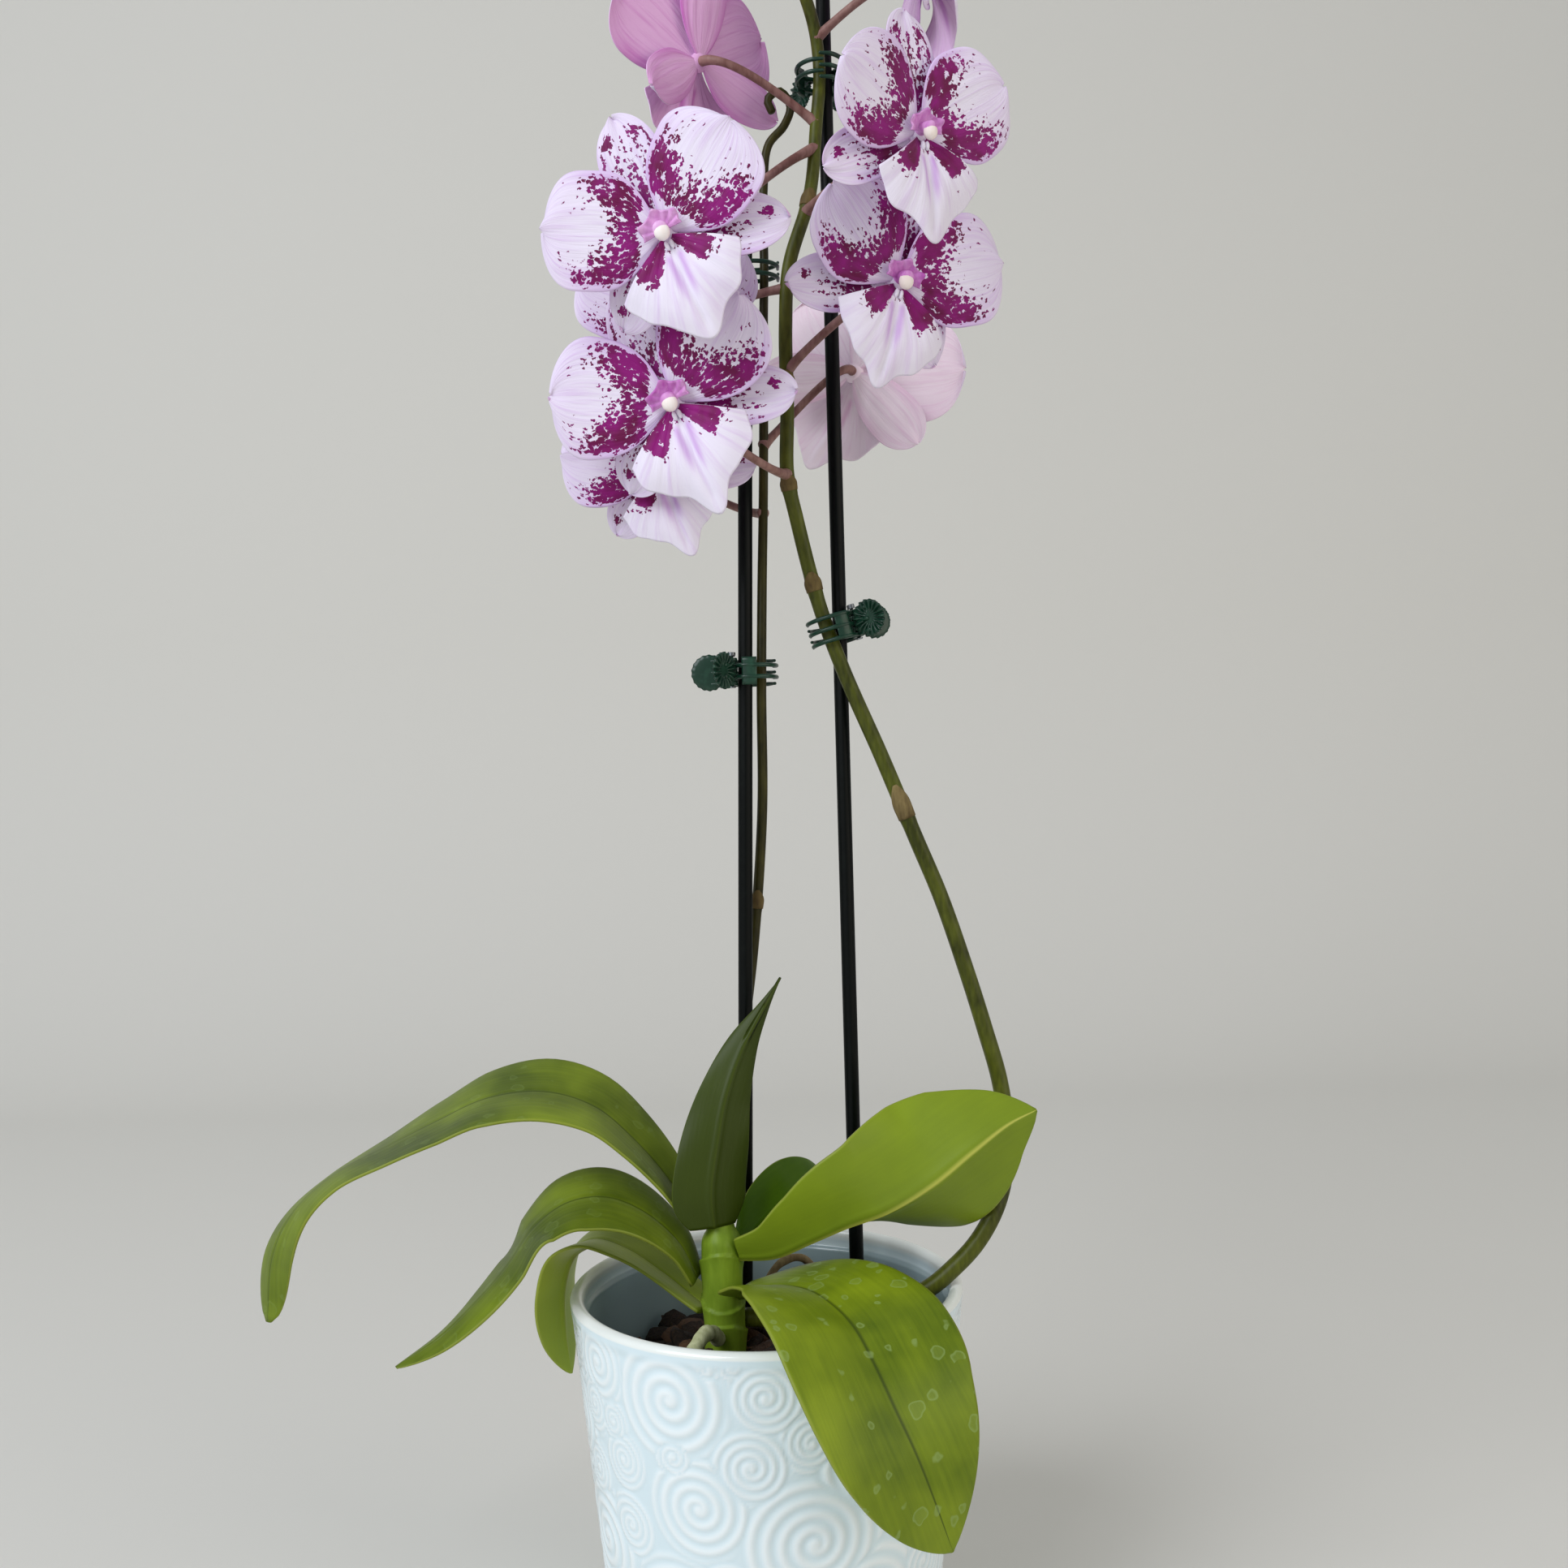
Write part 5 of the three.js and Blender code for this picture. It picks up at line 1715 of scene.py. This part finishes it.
@dataclass
class ClawClip:
    """A sprung claw clip round a stake and a spike. Its own frame has Z on the pin and the discs at -X."""

    number: int
    pin: tuple
    heading: float
    tilt: float = 0.0
    height: float = 10.0
    disc_at: tuple = (-6.1, 6.4)
    flare: float = 30.0
    belly: tuple = (8.2, 9.0, 8.5)
    tine: float = 0.8
    rays: int = 18
    coils: float = 3.5

    def matrix(self) -> Matrix:
        """The clip's place.

        Returns:
            Its move to its pin, times its turn to its heading, times its tilt.
        """
        heading, tilt = math.radians(self.heading), math.radians(self.tilt)
        turn = Matrix.Rotation(heading, 4, "Z") @ Matrix.Rotation(tilt, 4, "Y")
        return Matrix.Translation(self.pin) @ turn

    def path(self) -> Route:
        """The line of a tine.

        Returns:
            A route from the disc by the knuckle, then round the belly's ellipse to its tip.
        """
        centre, long, wide = self.belly
        angles = np.radians([136, 100, 62, 26, -3])
        belly = np.stack([centre + long * np.cos(angles), wide * np.sin(angles), 0 * angles], 1)
        return Route([[-5.4, 6, 0], [-3, 4.2, 0], [-0.4, 1.7, 0], *belly.tolist()])

    def finger_disc(self) -> Shape:
        """The round finger disc: a shallow dish of rays on its outer face, with a scalloped edge.

        Returns:
            Rings about the disc's axis, turned out from the jaw's line by the flare. The edge is at
            6.6 + 0.15 cos(18 a), and the outer face rises by 1.5 on each ray, from a plain boss to the edge.
        """
        profile = [
            (0.6, -0.75), (2.7, -0.75), (5.2, -0.7), (6.3, -0.5), (6.6, -0.2), (6.6, 0.3), (6.3, 0.55),
            (5.7, 0.6), (4.7, 0.5), (3.7, 0.35), (2.8, 0.15), (2.2, 0.0), (1.5, 0.0), (0.6, 0.05),
        ]  # fmt: skip
        r, y = (np.array(part)[:, None] for part in zip(*profile))
        a = circle(self.rays * 6)[None]
        ray = 0.5 + 0.5 * np.cos(self.rays * a)
        outer = (y > -0.1) * smooth(2.3, 3.5, r)
        radius = r + (r > 6.0) * (0.3 * ray - 0.15)
        rise = y + 1.5 * outer * (ray**0.7 - 0.7)
        rings = np.stack([radius * np.sin(a), rise, 0 * y + radius * np.cos(a)], -1)
        dish = shell(rings, np.array([0, -0.75, 0]), np.array([0, 0.05, 0]))
        turned = Matrix.Rotation(math.radians(-self.flare), 4, "Z")
        return dish.placed(Matrix.Translation((*self.disc_at, 0)) @ turned)

    def jaw(self, which: Jaw) -> Shape:
        """One jaw: its disc, a round tine and a knuckle at each level, and the plate that joins the tines.

        Args:
            which: The jaw's tine levels.

        Returns:
            The jaw on the +Y side, turned to -Y for the one with two tines.
        """
        route = self.path()
        s = np.linspace(0, 1, 70)
        line = route.at(s)
        parts = [self.finger_disc()]
        thick = self.tine * (1 - 0.28 * smooth(0.85, 1, s))
        knuckle = np.array([[1.0, -0.8], [1.85, -0.8], [2.0, -0.6], [2.0, 0.6], [1.85, 0.8], [1.0, 0.8]])
        for level in which.value:
            parts.append(swept(line + [0, 0, level], thick, 14, 0.9))
            around = lathe(knuckle + [0, level], 24)
            # The last ring joins the first, so the numbers past the last point start again
            quads = grid_quads(len(knuckle) + 1, 24, True) % (len(knuckle) * 24)
            parts.append(Shape(around.reshape(-1, 3), quads))
        start, end = 0.34, 0.5
        u = np.linspace(start, end, 12)
        across = np.linspace(-self.height / 2, self.height / 2, 9)
        wall = route.at(u)[:, None] + np.stack([0 * across, 0 * across, across], -1)[None]
        share = (u - start)[:, None] / (end - start)
        cut = 1 - smooth(0.55, 1.0, share) * (0.5 + 0.5 * np.cos(2 * np.pi * across / 4.2))
        parts.append(sheet(wall, 0.35 + 0.75 * cut))
        whole = joined(parts)
        return whole if which is Jaw.THREE else whole.mirrored()

    def spring(self) -> Shape:
        """The pin and its torsion spring.

        Returns:
            A headed rod, and a wire wound round its upper end in a helix of radius 1.2.
        """
        end = self.height / 2 + 0.4
        head = [(0.5, -end - 0.5), (1.2, -end - 0.5), (1.3, -end - 0.3), (1.3, -end), (0.6, -end)]
        rod = shell(lathe(np.array([*head, (0.6, end + 1.7)]), 20))
        t = np.linspace(0, 1, 150)
        angle = 2 * np.pi * self.coils * t
        coil = np.stack([1.2 * np.cos(angle), 1.2 * np.sin(angle), end + 0.35 + 1.3 * t], 1)
        return joined([rod, swept(coil, 0.26, 8)])

    def build(self) -> None:
        """The two jaws and the pin: the jaw with three tines on its own body, the rest on the plant's."""
        name, place = f"clip_{self.number}", self.matrix()
        for end, which, body in (("a", Jaw.THREE, f"{name}_jaw"), ("b", Jaw.TWO, PLANT)):
            node, jaw = f"{name}_jaw_{end}", self.jaw(which).placed(place)
            add_piece(f"{node}_claw", jaw, [Skins.CLIP], node, body)
        add_piece(f"{name}_spring", self.spring().placed(place), [Skins.WIRE], f"{name}_pin")


# Studio


@dataclass
class Studio:
    """A pale floor that curves up behind the plant, soft lights and the camera of the photograph."""

    lens: float = 35.4
    eye: tuple = (0.0112, -0.551, 0.3126)
    pitch: float = 0.5
    roll: float = 1.6

    def backdrop(self) -> None:
        """The floor and the wall behind in one sheet: level, a quarter turn of 0.5 m radius, upright."""
        turn = np.radians(np.linspace(0, 90, 24))
        y = np.concatenate([[-2.5, -1.0, 0.0], 0.9 + 0.5 * np.sin(turn), [1.4]])
        z = np.concatenate([[0, 0, 0], 0.5 - 0.5 * np.cos(turn), [3.2]])
        x = np.linspace(-3, 3, 13)
        under_pot = 0.0004
        y, z = y[:, None], z[:, None] - under_pot
        points = np.stack([x[None] + 0 * y, y + 0 * x, z + 0 * x], -1)
        faces = grid_quads(len(y), len(x))[:, ::-1].tolist()
        board = [PaintedBoard("painted_board")]
        add_object("studio_floor", new_mesh("studio_floor", points.reshape(-1, 3), faces, board))

    def light(self, name: str, at: tuple, aim: tuple, size: float, power: float, tone: str) -> None:
        """Adds a square soft light.

        Args:
            name: The light's name.
            at: Its place in metres.
            aim: The point that it faces.
            size: Its side in metres.
            power: Its power in watts.
            tone: Its colour.
        """
        lamp = bpy.data.lights.new(name, "AREA")
        lamp.shape, lamp.size, lamp.energy, lamp.color = "SQUARE", size, power, linear(tone)[:3]
        made = add_object(name, lamp)
        made.location = at
        made.rotation_euler = (Vector(aim) - Vector(at)).to_track_quat("-Z", "Y").to_euler()

    def camera(self) -> None:
        """The camera: level ways tilted down by the pitch, then turned by the roll."""
        down, roll = math.radians(self.pitch), math.radians(self.roll)
        ahead = Vector((0, math.cos(down), -math.sin(down)))
        above = Vector((0, math.sin(down), math.cos(down)))
        right = Vector((1, 0, 0)) * math.cos(roll) - above * math.sin(roll)
        up = Vector((1, 0, 0)) * math.sin(roll) + above * math.cos(roll)
        lens = bpy.data.cameras.new("photo_camera")
        lens.lens, lens.sensor_width, lens.clip_start, lens.clip_end = self.lens, 36.0, 0.01, 20.0
        made = add_object("photo_camera", lens)
        made.matrix_world = Matrix.Translation(self.eye) @ Matrix((right, up, -ahead)).transposed().to_4x4()
        bpy.context.scene.camera = made

    def build(self) -> None:
        """The backdrop, a large window light from the upper left, a fill from the right and a pale sky."""
        self.backdrop()
        self.light("window_light", (-1.3, -1.3, 1.5), (0, 0, 0.35), 1.4, 35.0, "f4f8ff")
        self.light("fill_light", (1.5, -0.9, 0.7), (0, 0, 0.3), 1.2, 8.0, "fff3e4")
        sky = bpy.data.worlds.new("pale_sky")
        sky.use_nodes = True
        background = sky.node_tree.nodes["Background"].inputs
        background["Color"].default_value, background["Strength"].default_value = linear("e9edf0"), 0.5
        bpy.context.scene.world = sky
        bpy.context.scene.view_settings.view_transform = "Standard"
        self.camera()


def main() -> None:
    """Builds and dresses every sub-assembly in order."""
    logging.basicConfig(level=logging.INFO, format="%(name)s: %(message)s", force=True)
    Studio().build()
    pot = Pot()
    pot.build()
    Bark().build(pot)
    carried = {bloom.letter: bloom for bloom in blooms()}
    for part in (
        Crown(),
        *roots(),
        *leaves(),
        *carried.values(),
        *spikes(carried),
        Stake("stake_left", (-11, 12, 14), (2.6, 12, 508)),
        Stake("stake_right", (33, 16, 14), (33.4, 16, 640)),
        ClawClip(1, (-6.55, 9.8, 349), 27),
        ClawClip(2, (38.85, 11.8, 365.4), 170, 14),
        ClawClip(3, (31.2, 20.4, 565), -88),
        ClawClip(4, (-2.85, 12.2, 494), 8),
    ):
        part.build()


if __name__ == "__main__":
    main()
